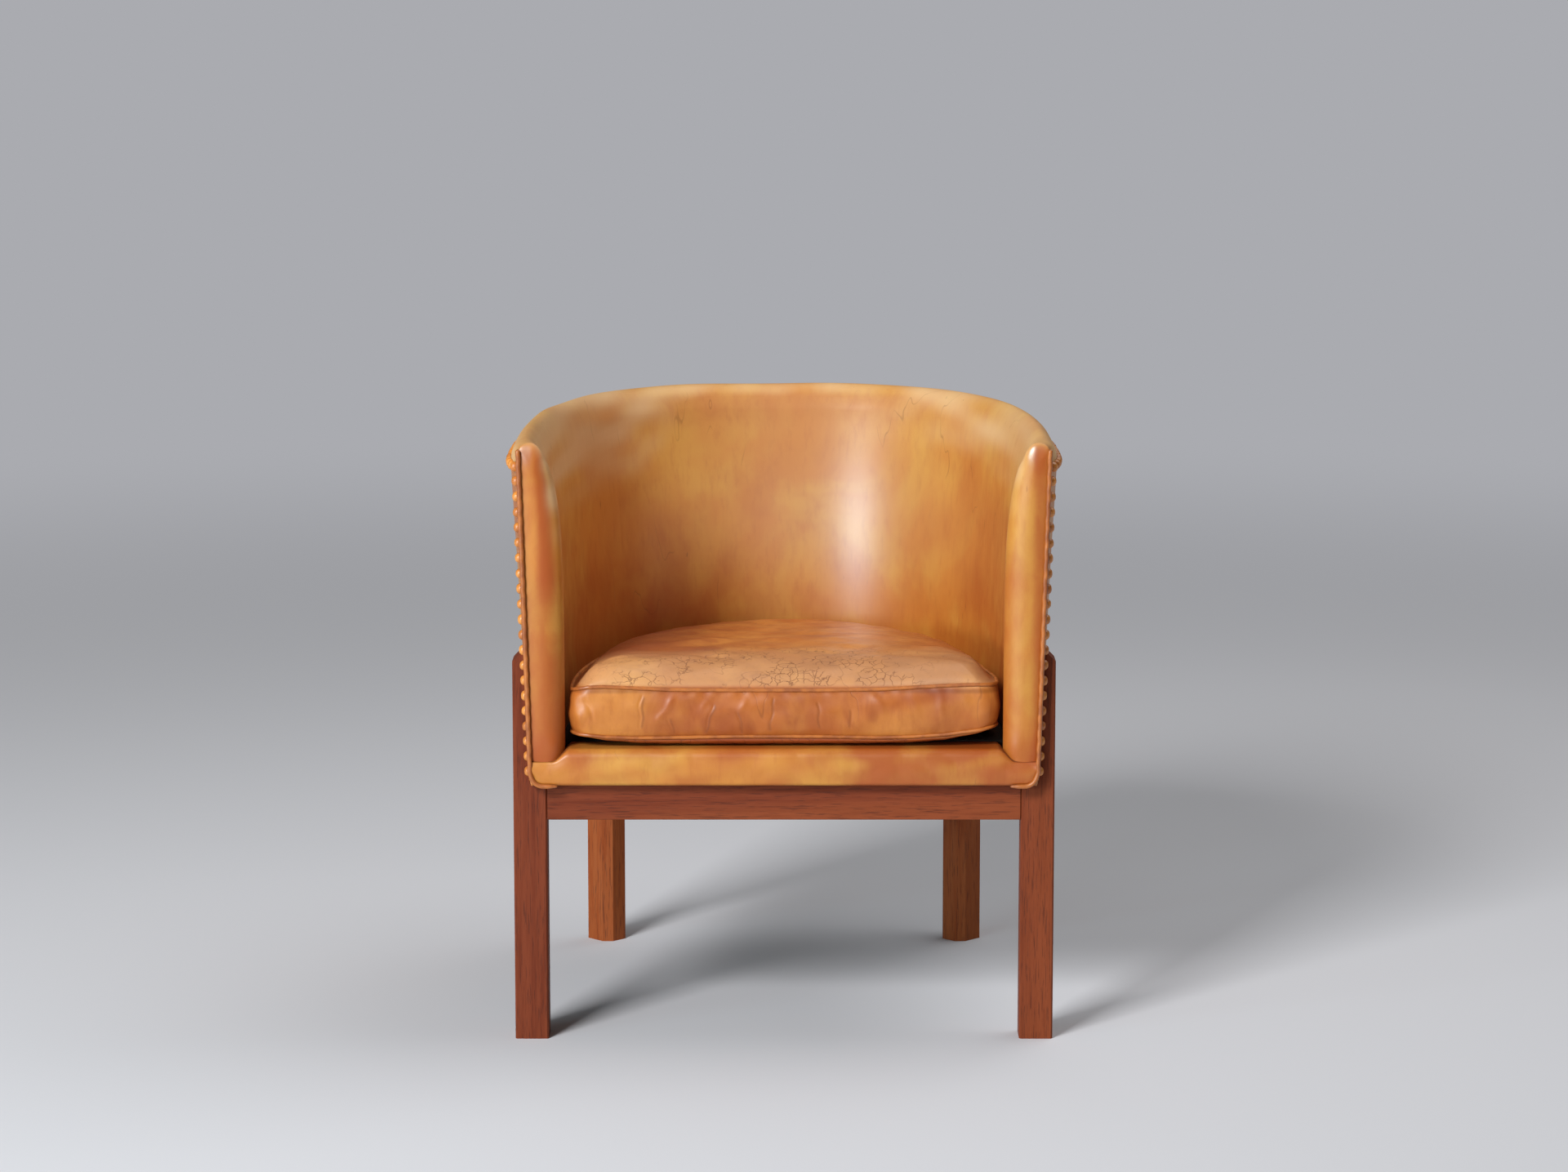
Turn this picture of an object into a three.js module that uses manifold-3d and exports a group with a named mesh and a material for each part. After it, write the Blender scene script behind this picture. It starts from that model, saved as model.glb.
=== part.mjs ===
import * as THREE from "three";
import { mergeVertices } from "three/addons/utils/BufferGeometryUtils.js";
import Module from "manifold-3d";

const wasm = await Module();
wasm.setup();
const { Manifold, Mesh: SolidMesh } = wasm;

// Leather tub armchair on a mahogany frame. Millimetres, +Z up, seen from the front along +Y.
// Depth is counted from the front faces of the front legs.

// Frame sizes
const frameWidth = 660;
const legStock = 41;
const legTop = 482;
const legTopBevel = 11;
const arris = 2;
const railBottom = 275;
const railTop = 320;
const frontRailThickness = 24;
const sideRailThickness = 22;
const tenonThickness = 10;
const tenonHeight = 30;
const tenonReach = 21;
const fitGap = 0.3;
const rearLegStock = 39.5;
const rearLegStandOff = 21.9;
const rearLegPlaceShare = 0.2532;
const rearLegFrontFlat = 20.8;
const rearLegOuterFlat = 26.8;
const rearLegInnerFlat = 22.5;
const rearTenonStop = 9;
const cornerBlockSide = 38;
const cornerBlockMargin = 5;

// Tub sizes
const tubFront = -18;
const widestDepth = 70;
const outlinePower = 2.75;
const rimTop = 740;
const rollRadius = 20.5;
const rollPower = 2.5;
const tubBack = 596;
const legTongue = 18;
const sideFlare = 21;
const backFlare = 24;
const frontDrawTop = 13.5;
const frontDrawBase = 4;
const wallThickness = 41;
const sideThicknessBase = 37.5;
const armThicknessTop = 33.5;
const armThicknessBase = 37;
const backThicknessBase = 60;
const leatherThickness = 2.1;
const leatherJoinDrop = 32;
const leatherJoinDepth = -14.3;
const cutterReach = 12;

// Carcass sizes
const boardThickness = 18;
const boardFront = 8;
const carcassSetBack = 6;
const postWidth = 18;
const postDepth = 26;
const postFront = 10;
const rimRailWidth = 18;
const rimRailHeight = 32;
const rimRailDrop = 18;
const stileWidth = 44;
const stileShares = [-0.62, -0.24, 0.24, 0.62];

// Front border and seat pad sizes
const borderHeight = 44.7;
const borderEndHeight = 25.7;
const borderBack = 45;
const borderRound = 9;
const seatTilt = 0.022;
const seatPadDrop = 15;
const coverThickness = 0.6;
const coverMargin = 6;

// Trim sizes
const weltRadius = 2.5;
const weltDrop = 9;
const weltBottomRound = 14;
const weltUnderReach = 34;
const stripWidth = 12.4;
const stripThickness = 1;
const stripGap = 0.5;
const nailRadius = 6;
const nailHeight = 4.4;
const nailSpacing = 18.6;
const rimNailDrop = 30;
const frontNailDepth = -7.6;
const frontNailDrop = 17;
const frontNailLift = 16.7;
const nailSides = 6;

// Cushion sizes
const cushionFront = -3;
const cushionLift = 1.4;
const cushionBelly = 12.6;
const cushionBoxing = 57;
const cushionCrown = 33;
const cushionSideGap = 12.5;
const cushionBackGap = 4;
const cushionTurnDepth = 40;
const cushionCornerRadius = 26;
const cushionDrawIn = 5;
const cushionBulge = 5;
const pipingRadius = 2.6;

// Screws that hold the tub to the side rails
const screwDepths = [130, 390];
const screwShankRadius = 3;
const screwHeadRadius = 6;
const screwHeadHeight = 4;
const screwRecess = 14;
const screwBite = 12;
const screwSides = 16;

// Counts
const cornerStations = 15;
const frontStations = 6;
const rollSteps = 6;
const levelSteps = 3;

const halfFrame = frameWidth / 2;
const outerHalfBase = halfFrame - legTongue;
const outerHalfTop = outerHalfBase + sideFlare;
const outerFrontBase = outerHalfBase - frontDrawBase;
const outerFrontTop = outerHalfTop - frontDrawTop;
const outerBackBase = tubBack;
const outerBackTop = tubBack + backFlare;
const innerHalfBase = outerHalfBase - sideThicknessBase;
const innerHalfTop = outerHalfTop - wallThickness;
const innerFrontBase = outerFrontBase - armThicknessBase;
const innerFrontTop = outerFrontTop - armThicknessTop;
const innerBackBase = outerBackBase - backThicknessBase;
const innerBackTop = outerBackTop - wallThickness;
const rollCentre = rimTop - rollRadius;
const leatherJoinLevel = rimTop - leatherJoinDrop;
const rimRailTop = rimTop - rimRailDrop;
const rimRailBottom = rimRailTop - rimRailHeight;
const weltTop = rimTop - weltDrop;
const rimNailLevel = rimTop - rimNailDrop;
const frontNailTop = rimNailLevel - frontNailDrop;
const tubBottom = railTop + fitGap;
const frontNailBottom = tubBottom + frontNailLift;
const borderTop = tubBottom + borderHeight;
const borderEndTop = tubBottom + borderEndHeight;
const innerBaseLevel = borderTop - seatPadDrop;
const cushionBottom = borderTop + cushionLift;
const cushionLowSeam = cushionBottom + cushionBelly;
const cushionHighSeam = cushionLowSeam + cushionBoxing;
const boardTop = tubBottom + boardThickness;
const wallBottom = boardTop + fitGap;
const skinGap = leatherThickness + fitGap;

// Materials
const mahogany = new THREE.MeshStandardMaterial({ color: 0x7a3a22, roughness: 0.45, metalness: 0 });
const beech = new THREE.MeshStandardMaterial({ color: 0xc39a68, roughness: 0.6, metalness: 0 });
const ply = new THREE.MeshStandardMaterial({ color: 0xb98d5a, roughness: 0.7, metalness: 0 });
const leather = new THREE.MeshStandardMaterial({ color: 0xc9812f, roughness: 0.42, metalness: 0 });
const darkLeather = new THREE.MeshStandardMaterial({ color: 0x9c5620, roughness: 0.4, metalness: 0 });
const wadding = new THREE.MeshStandardMaterial({ color: 0xd8cfbf, roughness: 0.95, metalness: 0 });
const cambric = new THREE.MeshStandardMaterial({ color: 0x1d1b19, roughness: 0.95, metalness: 0 });
const steel = new THREE.MeshStandardMaterial({ color: 0x8b8b88, roughness: 0.35, metalness: 1 });

// Closed solids from rings of points
function signedArea(points, a, b) {
  let sum = 0;
  for (let i = 0; i < points.length; i += 1) {
    const p = points[i];
    const q = points[(i + 1) % points.length];
    sum += p[a] * q[b] - q[a] * p[b];
  }
  return sum / 2;
}

function flattest(ring) {
  const pairs = [[0, 1], [1, 2], [2, 0]];
  return pairs.reduce((best, pair) => {
    const wider = Math.abs(signedArea(ring, ...pair)) > Math.abs(signedArea(ring, ...best));
    return wider ? pair : best;
  });
}

function capTriangles(ring) {
  const [a, b] = flattest(ring);
  const flat = ring.map((p) => new THREE.Vector2(p[a], p[b]));
  const sign = Math.sign(signedArea(ring, a, b));
  return THREE.ShapeUtils.triangulateShape(flat, []).map((tri) => {
    const area = signedArea(tri.map((i) => ring[i]), a, b);
    return Math.sign(area) === sign ? tri : [tri[0], tri[2], tri[1]];
  });
}

// Cap of a ring that runs up one face of a wall and down the other
function acrossTriangles(ring) {
  const last = ring.length - 1;
  const triangles = [];
  for (let i = 0; i + 1 < last - i; i += 1) {
    triangles.push([i, i + 1, last - i]);
    if (i + 1 < last - i - 1) {
      triangles.push([i + 1, last - i - 1, last - i]);
    }
  }
  return triangles;
}

function solidFrom(points, triangles) {
  const geometry = new THREE.BufferGeometry();
  geometry.setAttribute("position", new THREE.Float32BufferAttribute(points.flat(), 3));
  geometry.setIndex(triangles.flat());
  const merged = mergeVertices(geometry, 1e-4);
  const vertProperties = new Float32Array(merged.attributes.position.array);
  const triVerts = new Uint32Array(merged.index.array);
  const solid = new Manifold(new SolidMesh({ numProp: 3, vertProperties, triVerts }));
  if (solid.volume() >= 0) {
    return solid;
  }
  for (let i = 0; i < triVerts.length; i += 3) {
    const second = triVerts[i + 1];
    triVerts[i + 1] = triVerts[i + 2];
    triVerts[i + 2] = second;
  }
  return new Manifold(new SolidMesh({ numProp: 3, vertProperties, triVerts }));
}

function loft(rings, capOf = capTriangles) {
  const count = rings[0].length;
  const triangles = [];
  for (let k = 0; k + 1 < rings.length; k += 1) {
    for (let i = 0; i < count; i += 1) {
      const j = (i + 1) % count;
      triangles.push([k * count + i, k * count + j, (k + 1) * count + j]);
      triangles.push([k * count + i, (k + 1) * count + j, (k + 1) * count + i]);
    }
  }
  const last = (rings.length - 1) * count;
  for (const tri of capOf(rings[0])) {
    triangles.push([tri[0], tri[2], tri[1]]);
  }
  for (const tri of capOf(rings[rings.length - 1])) {
    triangles.push(tri.map((i) => last + i));
  }
  return solidFrom(rings.flat(), triangles);
}

function loopLoft(rings) {
  const count = rings[0].length;
  const total = rings.length;
  const triangles = [];
  for (let k = 0; k < total; k += 1) {
    const next = (k + 1) % total;
    for (let i = 0; i < count; i += 1) {
      const j = (i + 1) % count;
      triangles.push([k * count + i, k * count + j, next * count + j]);
      triangles.push([k * count + i, next * count + j, next * count + i]);
    }
  }
  return solidFrom(rings.flat(), triangles);
}

function prism(outline, low, high) {
  return loft([low, high].map((z) => outline.map(([x, y]) => [x, y, z])));
}

function cylinderUp(x, y, radius, low, high) {
  const outline = [];
  for (let i = 0; i < screwSides; i += 1) {
    const angle = (2 * Math.PI * i) / screwSides;
    outline.push([x + radius * Math.cos(angle), y + radius * Math.sin(angle)]);
  }
  return prism(outline, low, high);
}

// Plan outlines of the tub: a squared oval at the back, arms that draw in towards the front
function mix(low, high, share) {
  return low + (high - low) * share;
}

const turnShare = 0.86;

function planPoint(share, plan, front) {
  const side = share < 0 ? -1 : 1;
  const run = Math.abs(share);
  if (run >= turnShare) {
    const along = (run - turnShare) / (1 - turnShare);
    const y = mix(widestDepth, front, along);
    const fall = (widestDepth - y) / (widestDepth - tubFront);
    return [side * (plan.half - (plan.half - plan.front) * fall * fall), y];
  }
  const angle = (1 - run / turnShare) * (Math.PI / 2);
  const reach = plan.back - widestDepth;
  const c = Math.abs(Math.cos(angle) / plan.half) ** outlinePower;
  const s = Math.abs(Math.sin(angle) / reach) ** outlinePower;
  const radius = (c + s) ** (-1 / outlinePower);
  return [side * radius * Math.cos(angle), widestDepth + radius * Math.sin(angle)];
}

function outerPlan(z) {
  const share = Math.min(1, (z - tubBottom) / (rollCentre - tubBottom));
  return {
    half: mix(outerHalfBase, outerHalfTop, share),
    front: mix(outerFrontBase, outerFrontTop, share),
    back: mix(outerBackBase, outerBackTop, share),
  };
}

function innerPlan(z) {
  const share = Math.min(1, (z - innerBaseLevel) / (rollCentre - innerBaseLevel));
  return {
    half: mix(innerHalfBase, innerHalfTop, share),
    front: mix(innerFrontBase, innerFrontTop, share),
    back: mix(innerBackBase, innerBackTop, share),
  };
}

const legSeat = planPoint(rearLegPlaceShare, outerPlan(tubBottom), tubFront);
const rearLegSpread = legSeat[0] + rearLegStandOff * Math.SQRT1_2;
const rearLegDepth = legSeat[1] + rearLegStandOff * Math.SQRT1_2;

const probe = 1e-3;

function outward(share, plan, front) {
  const before = planPoint(Math.max(-1, share - probe), plan, front);
  const after = planPoint(Math.min(1, share + probe), plan, front);
  const dx = after[0] - before[0];
  const dy = after[1] - before[1];
  const size = Math.hypot(dx, dy);
  return [-dy / size, dx / size];
}

// A point on the outer or inner face, moved outward by the given distance
function facePoint(planAt, share, z, move, front) {
  const plan = planAt(z);
  const [x, y] = planPoint(share, plan, front);
  const [nx, ny] = outward(share, plan, front);
  const level = Math.abs(share) > 1 - probe ? 0 : 1;
  return [x + nx * move, y + ny * move * level, z];
}

const stations = [];
for (let i = -cornerStations - frontStations; i <= cornerStations + frontStations; i += 1) {
  const run = Math.abs(i);
  const along = (run - cornerStations) / frontStations;
  const share = run <= cornerStations ? (turnShare * run) / cornerStations : mix(turnShare, 1, along);
  stations.push(Math.sign(i) * share);
}

function levels(low, high, steps) {
  return Array.from({ length: steps + 1 }, (_, i) => mix(low, high, i / steps));
}

// The wall of the tub, drawn in from its finished faces by the given distance
function wall(inset, bottom) {
  const front = tubFront + inset;
  const rings = stations.map((share) => {
    const ring = levels(bottom, rollCentre, levelSteps).map((z) => facePoint(innerPlan, share, z, inset, front));
    const inner = facePoint(innerPlan, share, rollCentre, inset, front);
    const outer = facePoint(outerPlan, share, rollCentre, -inset, front);
    for (let i = 1; i < rollSteps; i += 1) {
      const angle = (Math.PI * i) / rollSteps;
      const swing = Math.sign(Math.cos(angle)) * Math.abs(Math.cos(angle)) ** (2 / rollPower);
      const lift = Math.sin(angle) ** (2 / rollPower);
      const across = (1 - swing) / 2;
      ring.push([
        mix(inner[0], outer[0], across),
        mix(inner[1], outer[1], across),
        rollCentre + (rollRadius - inset) * lift,
      ]);
    }
    for (const z of levels(rollCentre, bottom, levelSteps)) {
      ring.push(facePoint(outerPlan, share, z, -inset, front));
    }
    return ring;
  });
  return loft(rings, acrossTriangles);
}

// A band that follows the outer face between two distances out from it
function outerBand(nearMove, farMove, low, high, front, steps) {
  const rings = stations.map((share) => {
    const near = levels(low, high, steps).map((z) => facePoint(outerPlan, share, z, nearMove, front));
    const far = levels(high, low, steps).map((z) => facePoint(outerPlan, share, z, farMove, front));
    return near.concat(far);
  });
  return loft(rings, acrossTriangles);
}

// The whole room that the tub takes up, wall and hollow, as one block
function envelope(grow) {
  const heart = [tubBottom - grow, rimTop].map((z) =>
    stations.map((share) => facePoint(outerPlan, share, z, -rollRadius, tubFront)),
  );
  return wall(-grow, tubBottom - grow).add(loft(heart));
}

// Legs and rails
function chamferedBox(x0, x1, y0, y1, cut) {
  return [
    [x0 + cut, y0],
    [x1 - cut, y0],
    [x1, y0 + cut],
    [x1, y1 - cut],
    [x1 - cut, y1],
    [x0 + cut, y1],
    [x0, y1 - cut],
    [x0, y0 + cut],
  ];
}

function frontLegBlock(side, grow) {
  const near = halfFrame - legStock - grow;
  const far = halfFrame + grow;
  const outline = chamferedBox(near, far, -grow, legStock + grow, grow > 0 ? grow : arris);
  return prism(outline.map(([x, y]) => [side * x, y]), 0, legTop);
}

function rearLegBlock(side, grow) {
  const faceReach = (rearLegStock / 2 + grow) * Math.SQRT2;
  const ends = {
    front: rearLegFrontFlat + grow,
    outer: rearLegOuterFlat + grow,
    back: rearLegOuterFlat + grow,
    inner: rearLegInnerFlat + grow,
  };
  const outline = [
    [faceReach - ends.front, -ends.front],
    [ends.outer, -(faceReach - ends.outer)],
    [ends.outer, faceReach - ends.outer],
    [faceReach - ends.back, ends.back],
    [-(faceReach - ends.back), ends.back],
    [-ends.inner, faceReach - ends.inner],
    [-ends.inner, -(faceReach - ends.inner)],
    [-(faceReach - ends.front), -ends.front],
  ];
  return prism(outline.map(([x, y]) => [side * (rearLegSpread + x), rearLegDepth + y]), 0, legTop);
}

// A wedge that takes the sharp outer corner off the top of a leg
function topWedge(cornerX, cornerY, dirX, dirY) {
  const span = frameWidth / 2;
  const rings = [-1, 1].map((end) => {
    const ox = -dirY * end * span;
    const oy = dirX * end * span;
    const outer = [cornerX + dirX * legTopBevel + ox, cornerY + dirY * legTopBevel + oy];
    const inner = [cornerX - dirX * legTopBevel + ox, cornerY - dirY * legTopBevel + oy];
    const edge = [cornerX + ox, cornerY + oy];
    return [
      [edge[0], edge[1], legTop - legTopBevel],
      [outer[0], outer[1], legTop - legTopBevel],
      [outer[0], outer[1], legTop + legTopBevel],
      [inner[0], inner[1], legTop + legTopBevel],
      [inner[0], inner[1], legTop],
    ];
  });
  return loft(rings);
}

function bar(start, end, thickness, low, high) {
  const dx = end[0] - start[0];
  const dy = end[1] - start[1];
  const size = Math.hypot(dx, dy);
  const px = (-dy / size) * (thickness / 2);
  const py = (dx / size) * (thickness / 2);
  const outline = [
    [start[0] + px, start[1] + py],
    [start[0] - px, start[1] - py],
    [end[0] - px, end[1] - py],
    [end[0] + px, end[1] + py],
  ];
  return prism(outline, low, high);
}

function along(start, end, distance) {
  const size = Math.hypot(end[0] - start[0], end[1] - start[1]);
  const share = distance / size;
  return [mix(start[0], end[0], share), mix(start[1], end[1], share)];
}

const tenonLow = railBottom + (railTop - railBottom - tenonHeight) / 2;
const tenonHigh = tenonLow + tenonHeight;
const legCentreX = halfFrame - legStock / 2;

function tenonBar(start, end, grow) {
  const from = along(start, end, -grow);
  const to = along(end, start, -grow);
  return bar(from, to, tenonThickness + 2 * grow, tenonLow - grow, tenonHigh + grow);
}

const frontTenonY = frontRailThickness / 2;
const frontTenonEnd = halfFrame - legStock + tenonReach;
const frontTenon = [[-frontTenonEnd, frontTenonY], [frontTenonEnd, frontTenonY]];
const backTenonEnd = rearLegSpread - rearTenonStop;
const backTenon = [[-backTenonEnd, rearLegDepth], [backTenonEnd, rearLegDepth]];

function sideLine(side) {
  return [[side * legCentreX, legStock / 2], [side * rearLegSpread, rearLegDepth]];
}

function sideTenon(side) {
  const [from, to] = sideLine(side);
  return [along(from, to, 0), along(to, from, rearTenonStop)];
}

// Screw places on the side rails
function screwPlace(side, depth) {
  const [from, to] = sideLine(side);
  const share = (depth - from[1]) / (to[1] - from[1]);
  return [mix(from[0], to[0], share), depth];
}

function screw(side, depth, grow) {
  const [x, y] = screwPlace(side, depth);
  const seat = railBottom + screwRecess;
  const head = cylinderUp(x, y, screwHeadRadius + grow, grow > 0 ? railBottom - fitGap : seat - screwHeadHeight, seat);
  const shank = cylinderUp(x, y, screwShankRadius + grow, seat - fitGap, tubBottom + screwBite + grow);
  return head.add(shank);
}

const tubRoom = envelope(fitGap);

function frontLeg(side) {
  return frontLegBlock(side, 0)
    .subtract(tubRoom)
    .subtract(topWedge(side * halfFrame, legStock / 2, side, 0))
    .subtract(tenonBar(...frontTenon, fitGap))
    .subtract(tenonBar(...sideTenon(side), fitGap));
}

function rearLeg(side) {
  const diagonal = (rearLegStock / 2) * Math.SQRT1_2;
  const cornerX = side * (rearLegSpread + diagonal);
  return rearLegBlock(side, 0)
    .subtract(tubRoom)
    .subtract(topWedge(cornerX, rearLegDepth + diagonal, side * Math.SQRT1_2, Math.SQRT1_2))
    .subtract(tenonBar(...backTenon, fitGap))
    .subtract(tenonBar(...sideTenon(side), fitGap));
}

function frontRail() {
  const reach = halfFrame - legStock - fitGap;
  const outline = chamferedBox(-reach, reach, 0, frontRailThickness, 0);
  return prism(outline.filter((_, i) => i % 2 === 0), railBottom, railTop).add(tenonBar(...frontTenon, 0));
}

function sideRail(side) {
  const [from, to] = sideLine(side);
  let rail = bar(from, to, sideRailThickness, railBottom, railTop)
    .subtract(frontLegBlock(side, fitGap))
    .subtract(rearLegBlock(side, fitGap))
    .add(tenonBar(...sideTenon(side), 0));
  for (const depth of screwDepths) {
    rail = rail.subtract(screw(side, depth, fitGap));
  }
  return rail;
}

function backRail() {
  const ends = [[-rearLegSpread, rearLegDepth], [rearLegSpread, rearLegDepth]];
  return bar(ends[0], ends[1], sideRailThickness, railBottom, railTop)
    .subtract(rearLegBlock(-1, fitGap))
    .subtract(rearLegBlock(1, fitGap))
    .add(tenonBar(...backTenon, 0));
}

function cornerBlock(side) {
  const x = halfFrame - legStock - fitGap;
  const y = frontRailThickness + fitGap;
  const outline = [[side * x, y], [side * (x - cornerBlockSide), y], [side * x, y + cornerBlockSide]];
  return prism(outline, railBottom + cornerBlockMargin, railTop - cornerBlockMargin)
    .subtract(bar(...sideLine(side), sideRailThickness + 2 * fitGap, railBottom, railTop));
}

// Board under the tub, inside the outer leather
function closedOutline(planAt, z, move, front) {
  return stations.map((share) => {
    const [x, y] = facePoint(planAt, share, z, move, front);
    return [x, y];
  });
}

function board(grow, frontEdge) {
  const rings = [tubBottom - grow, boardTop + grow].map((z) =>
    closedOutline(outerPlan, z, grow - skinGap, frontEdge - grow).map(([x, y]) => [x, y, z]),
  );
  return loft(rings);
}

// Posts, stiles and rim rail inside the wall
function wallMid(share, z, shift, front) {
  const outer = facePoint(outerPlan, share, z, -skinGap - carcassSetBack, front);
  const [nx, ny] = outward(share, outerPlan(z), front);
  return [outer[0] - nx * shift, outer[1] - ny * shift, z];
}

function rimRail(grow) {
  const front = postFront;
  const rings = stations.map((share) => [
    wallMid(share, rimRailBottom - grow, rimRailWidth + grow, front - grow),
    wallMid(share, rimRailTop + grow, rimRailWidth + grow, front - grow),
    wallMid(share, rimRailTop + grow, -grow, front - grow),
    wallMid(share, rimRailBottom - grow, -grow, front - grow),
  ]);
  return loft(rings);
}

function post(side, grow) {
  const rings = [wallBottom - grow, rimRailBottom - fitGap + grow].map((z) => {
    const plan = outerPlan(z);
    const edge = planPoint(1, plan, postFront)[0] - skinGap - carcassSetBack;
    const outline = [
      [edge + grow, postFront - grow],
      [edge - postWidth - grow, postFront - grow],
      [edge - postWidth - grow, postFront + postDepth + grow],
      [edge + grow, postFront + postDepth + grow],
    ];
    return outline.map(([x, y]) => [side * x, y, z]);
  });
  return loft(rings);
}

function stile(share, grow) {
  const rings = [wallBottom - grow, rimRailBottom - fitGap + grow].map((z) => {
    const outer = wallMid(share, z, -grow, tubFront);
    const inner = wallMid(share, z, rimRailWidth + grow, tubFront);
    const [nx, ny] = outward(share, outerPlan(z), tubFront);
    const reach = stileWidth / 2 + grow;
    return [
      [outer[0] - ny * reach, outer[1] + nx * reach, z],
      [outer[0] + ny * reach, outer[1] - nx * reach, z],
      [inner[0] + ny * reach, inner[1] - nx * reach, z],
      [inner[0] - ny * reach, inner[1] + nx * reach, z],
    ];
  });
  return loft(rings);
}

function carcass(grow) {
  const parts = [rimRail(grow), post(-1, grow), post(1, grow)];
  for (const share of stileShares) {
    parts.push(stile(share, grow));
  }
  return Manifold.union(parts);
}

// Padded front border: a low end under each arm and a full roll between the arms
function borderSolid(grow) {
  const endReach = outerFrontBase - skinGap + grow;
  const midReach = innerFrontBase - fitGap + grow;
  const round = borderRound;
  const section = (top, back) => [
    [tubFront + round - grow, tubBottom - grow],
    [tubFront - grow, tubBottom + round],
    [tubFront - grow, top - round],
    [tubFront + round - grow, top + grow],
    [back + grow, top + grow],
    [back + grow, tubBottom - grow],
  ];
  const across = (reach, profile) =>
    loft([-reach, reach].map((x) => profile.map(([y, z]) => [x, y, z])));
  const ends = across(endReach, section(borderEndTop, boardFront - fitGap));
  const roll = across(midReach, section(borderTop, borderBack));
  return ends.add(roll);
}

const boardRoom = board(fitGap, boardFront);

function frontBorder() {
  return borderSolid(0).subtract(boardRoom);
}

// Skins and padding
const skinCutter = outerBand(-rollRadius / 2, cutterReach, tubBottom - cutterReach, leatherJoinLevel, leatherJoinDepth, levelSteps);
const skinCutterWide = outerBand(
  -rollRadius / 2 - fitGap,
  cutterReach,
  tubBottom - cutterReach,
  leatherJoinLevel + fitGap,
  leatherJoinDepth - fitGap,
  levelSteps,
);
const skin = wall(0, tubBottom)
  .subtract(wall(leatherThickness, tubBottom - cutterReach))
  .subtract(boardRoom)
  .subtract(borderSolid(fitGap));
const wallCore = wall(skinGap, wallBottom);

function padding() {
  return wallCore.subtract(carcass(fitGap)).subtract(borderSolid(fitGap));
}

// Seat pad, sloping down to the back
function tilted(x, y, z) {
  return [x, y, z - seatTilt * y];
}

function seatPad() {
  const outline = closedOutline(innerPlan, innerBaseLevel, -fitGap * 2, borderBack + fitGap);
  const low = closedOutline(innerPlan, wallBottom, -fitGap * 2, borderBack + fitGap);
  return loft([
    low.map(([x, y]) => [x, y, wallBottom]),
    outline.map(([x, y]) => tilted(x, y, cushionBottom - fitGap)),
  ]);
}

function dustCover() {
  const frontY = frontRailThickness + cornerBlockSide + coverMargin;
  const backY = rearLegDepth - sideRailThickness / 2 - coverMargin;
  const half = (y) => screwPlace(1, y)[0] - sideRailThickness / 2 - coverMargin;
  const outline = [
    [-half(frontY), frontY],
    [half(frontY), frontY],
    [half(backY) - coverMargin, backY],
    [-half(backY) + coverMargin, backY],
  ];
  return prism(outline, railTop - coverThickness, railTop);
}

// Tubes along a path of points
function sub(p, q) {
  return new THREE.Vector3(p[0] - q[0], p[1] - q[1], p[2] - q[2]);
}

function tubeRings(path, radius, sides, closed, up) {
  const total = path.length;
  return path.map((point, k) => {
    const before = closed ? path[(k + total - 1) % total] : path[Math.max(0, k - 1)];
    const after = closed ? path[(k + 1) % total] : path[Math.min(total - 1, k + 1)];
    const run = sub(after, before).normalize();
    const side = new THREE.Vector3().crossVectors(run, up).normalize();
    const top = new THREE.Vector3().crossVectors(side, run).normalize();
    return Array.from({ length: sides }, (_, i) => {
      const angle = (2 * Math.PI * i) / sides;
      const c = radius * Math.cos(angle);
      const s = radius * Math.sin(angle);
      return [point[0] + side.x * c + top.x * s, point[1] + side.y * c + top.y * s, point[2] + side.z * c + top.z * s];
    });
  });
}

const weltSides = 6;

function edgeWelt(side) {
  const y = tubFront - weltRadius - fitGap;
  const corner = tubBottom + weltBottomRound;
  const path = [weltTop, rollCentre, corner].map((z) => [
    side * planPoint(1, outerPlan(z), tubFront)[0],
    y,
    z,
  ]);
  const edge = outerFrontBase;
  const low = tubBottom;
  const turns = 4;
  for (let i = 1; i <= turns; i += 1) {
    const angle = (Math.PI / 2) * (i / turns);
    const turnX = edge - weltBottomRound * (1 - Math.cos(angle));
    path.push([side * turnX, y, mix(corner, low, Math.sin(angle))]);
  }
  path.push([side * (edge - weltUnderReach), y, low]);
  return loft(tubeRings(path, weltRadius, weltSides, false, new THREE.Vector3(0, 1, 0)));
}

// A hem strip that carries a row of covered nails
function nailHead(place, normal, tangent) {
  const out = new THREE.Vector3(...normal);
  const run = new THREE.Vector3(...tangent);
  const rise = new THREE.Vector3().crossVectors(out, run);
  const rows = [[1, stripThickness / 2], [0.94, stripThickness + nailHeight * 0.35], [0.55, stripThickness + nailHeight * 0.86]];
  const rings = rows.map(([share, height]) =>
    Array.from({ length: nailSides }, (_, i) => {
      const angle = (2 * Math.PI * i) / nailSides;
      const c = nailRadius * share * Math.cos(angle);
      const s = nailRadius * share * Math.sin(angle);
      return [0, 1, 2].map((n) => {
        const axis = "xyz"[n];
        return place[n] + run[axis] * c + rise[axis] * s + out[axis] * height;
      });
    }),
  );
  return loft(rings);
}

const stripShell = wall(-stripGap - stripThickness, tubBottom).subtract(wall(-stripGap, tubBottom - cutterReach));

function boxBetween(low, high) {
  const outline = [[low[0], low[1]], [high[0], low[1]], [high[0], high[1]], [low[0], high[1]]];
  return prism(outline, low[2], high[2]);
}

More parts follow.
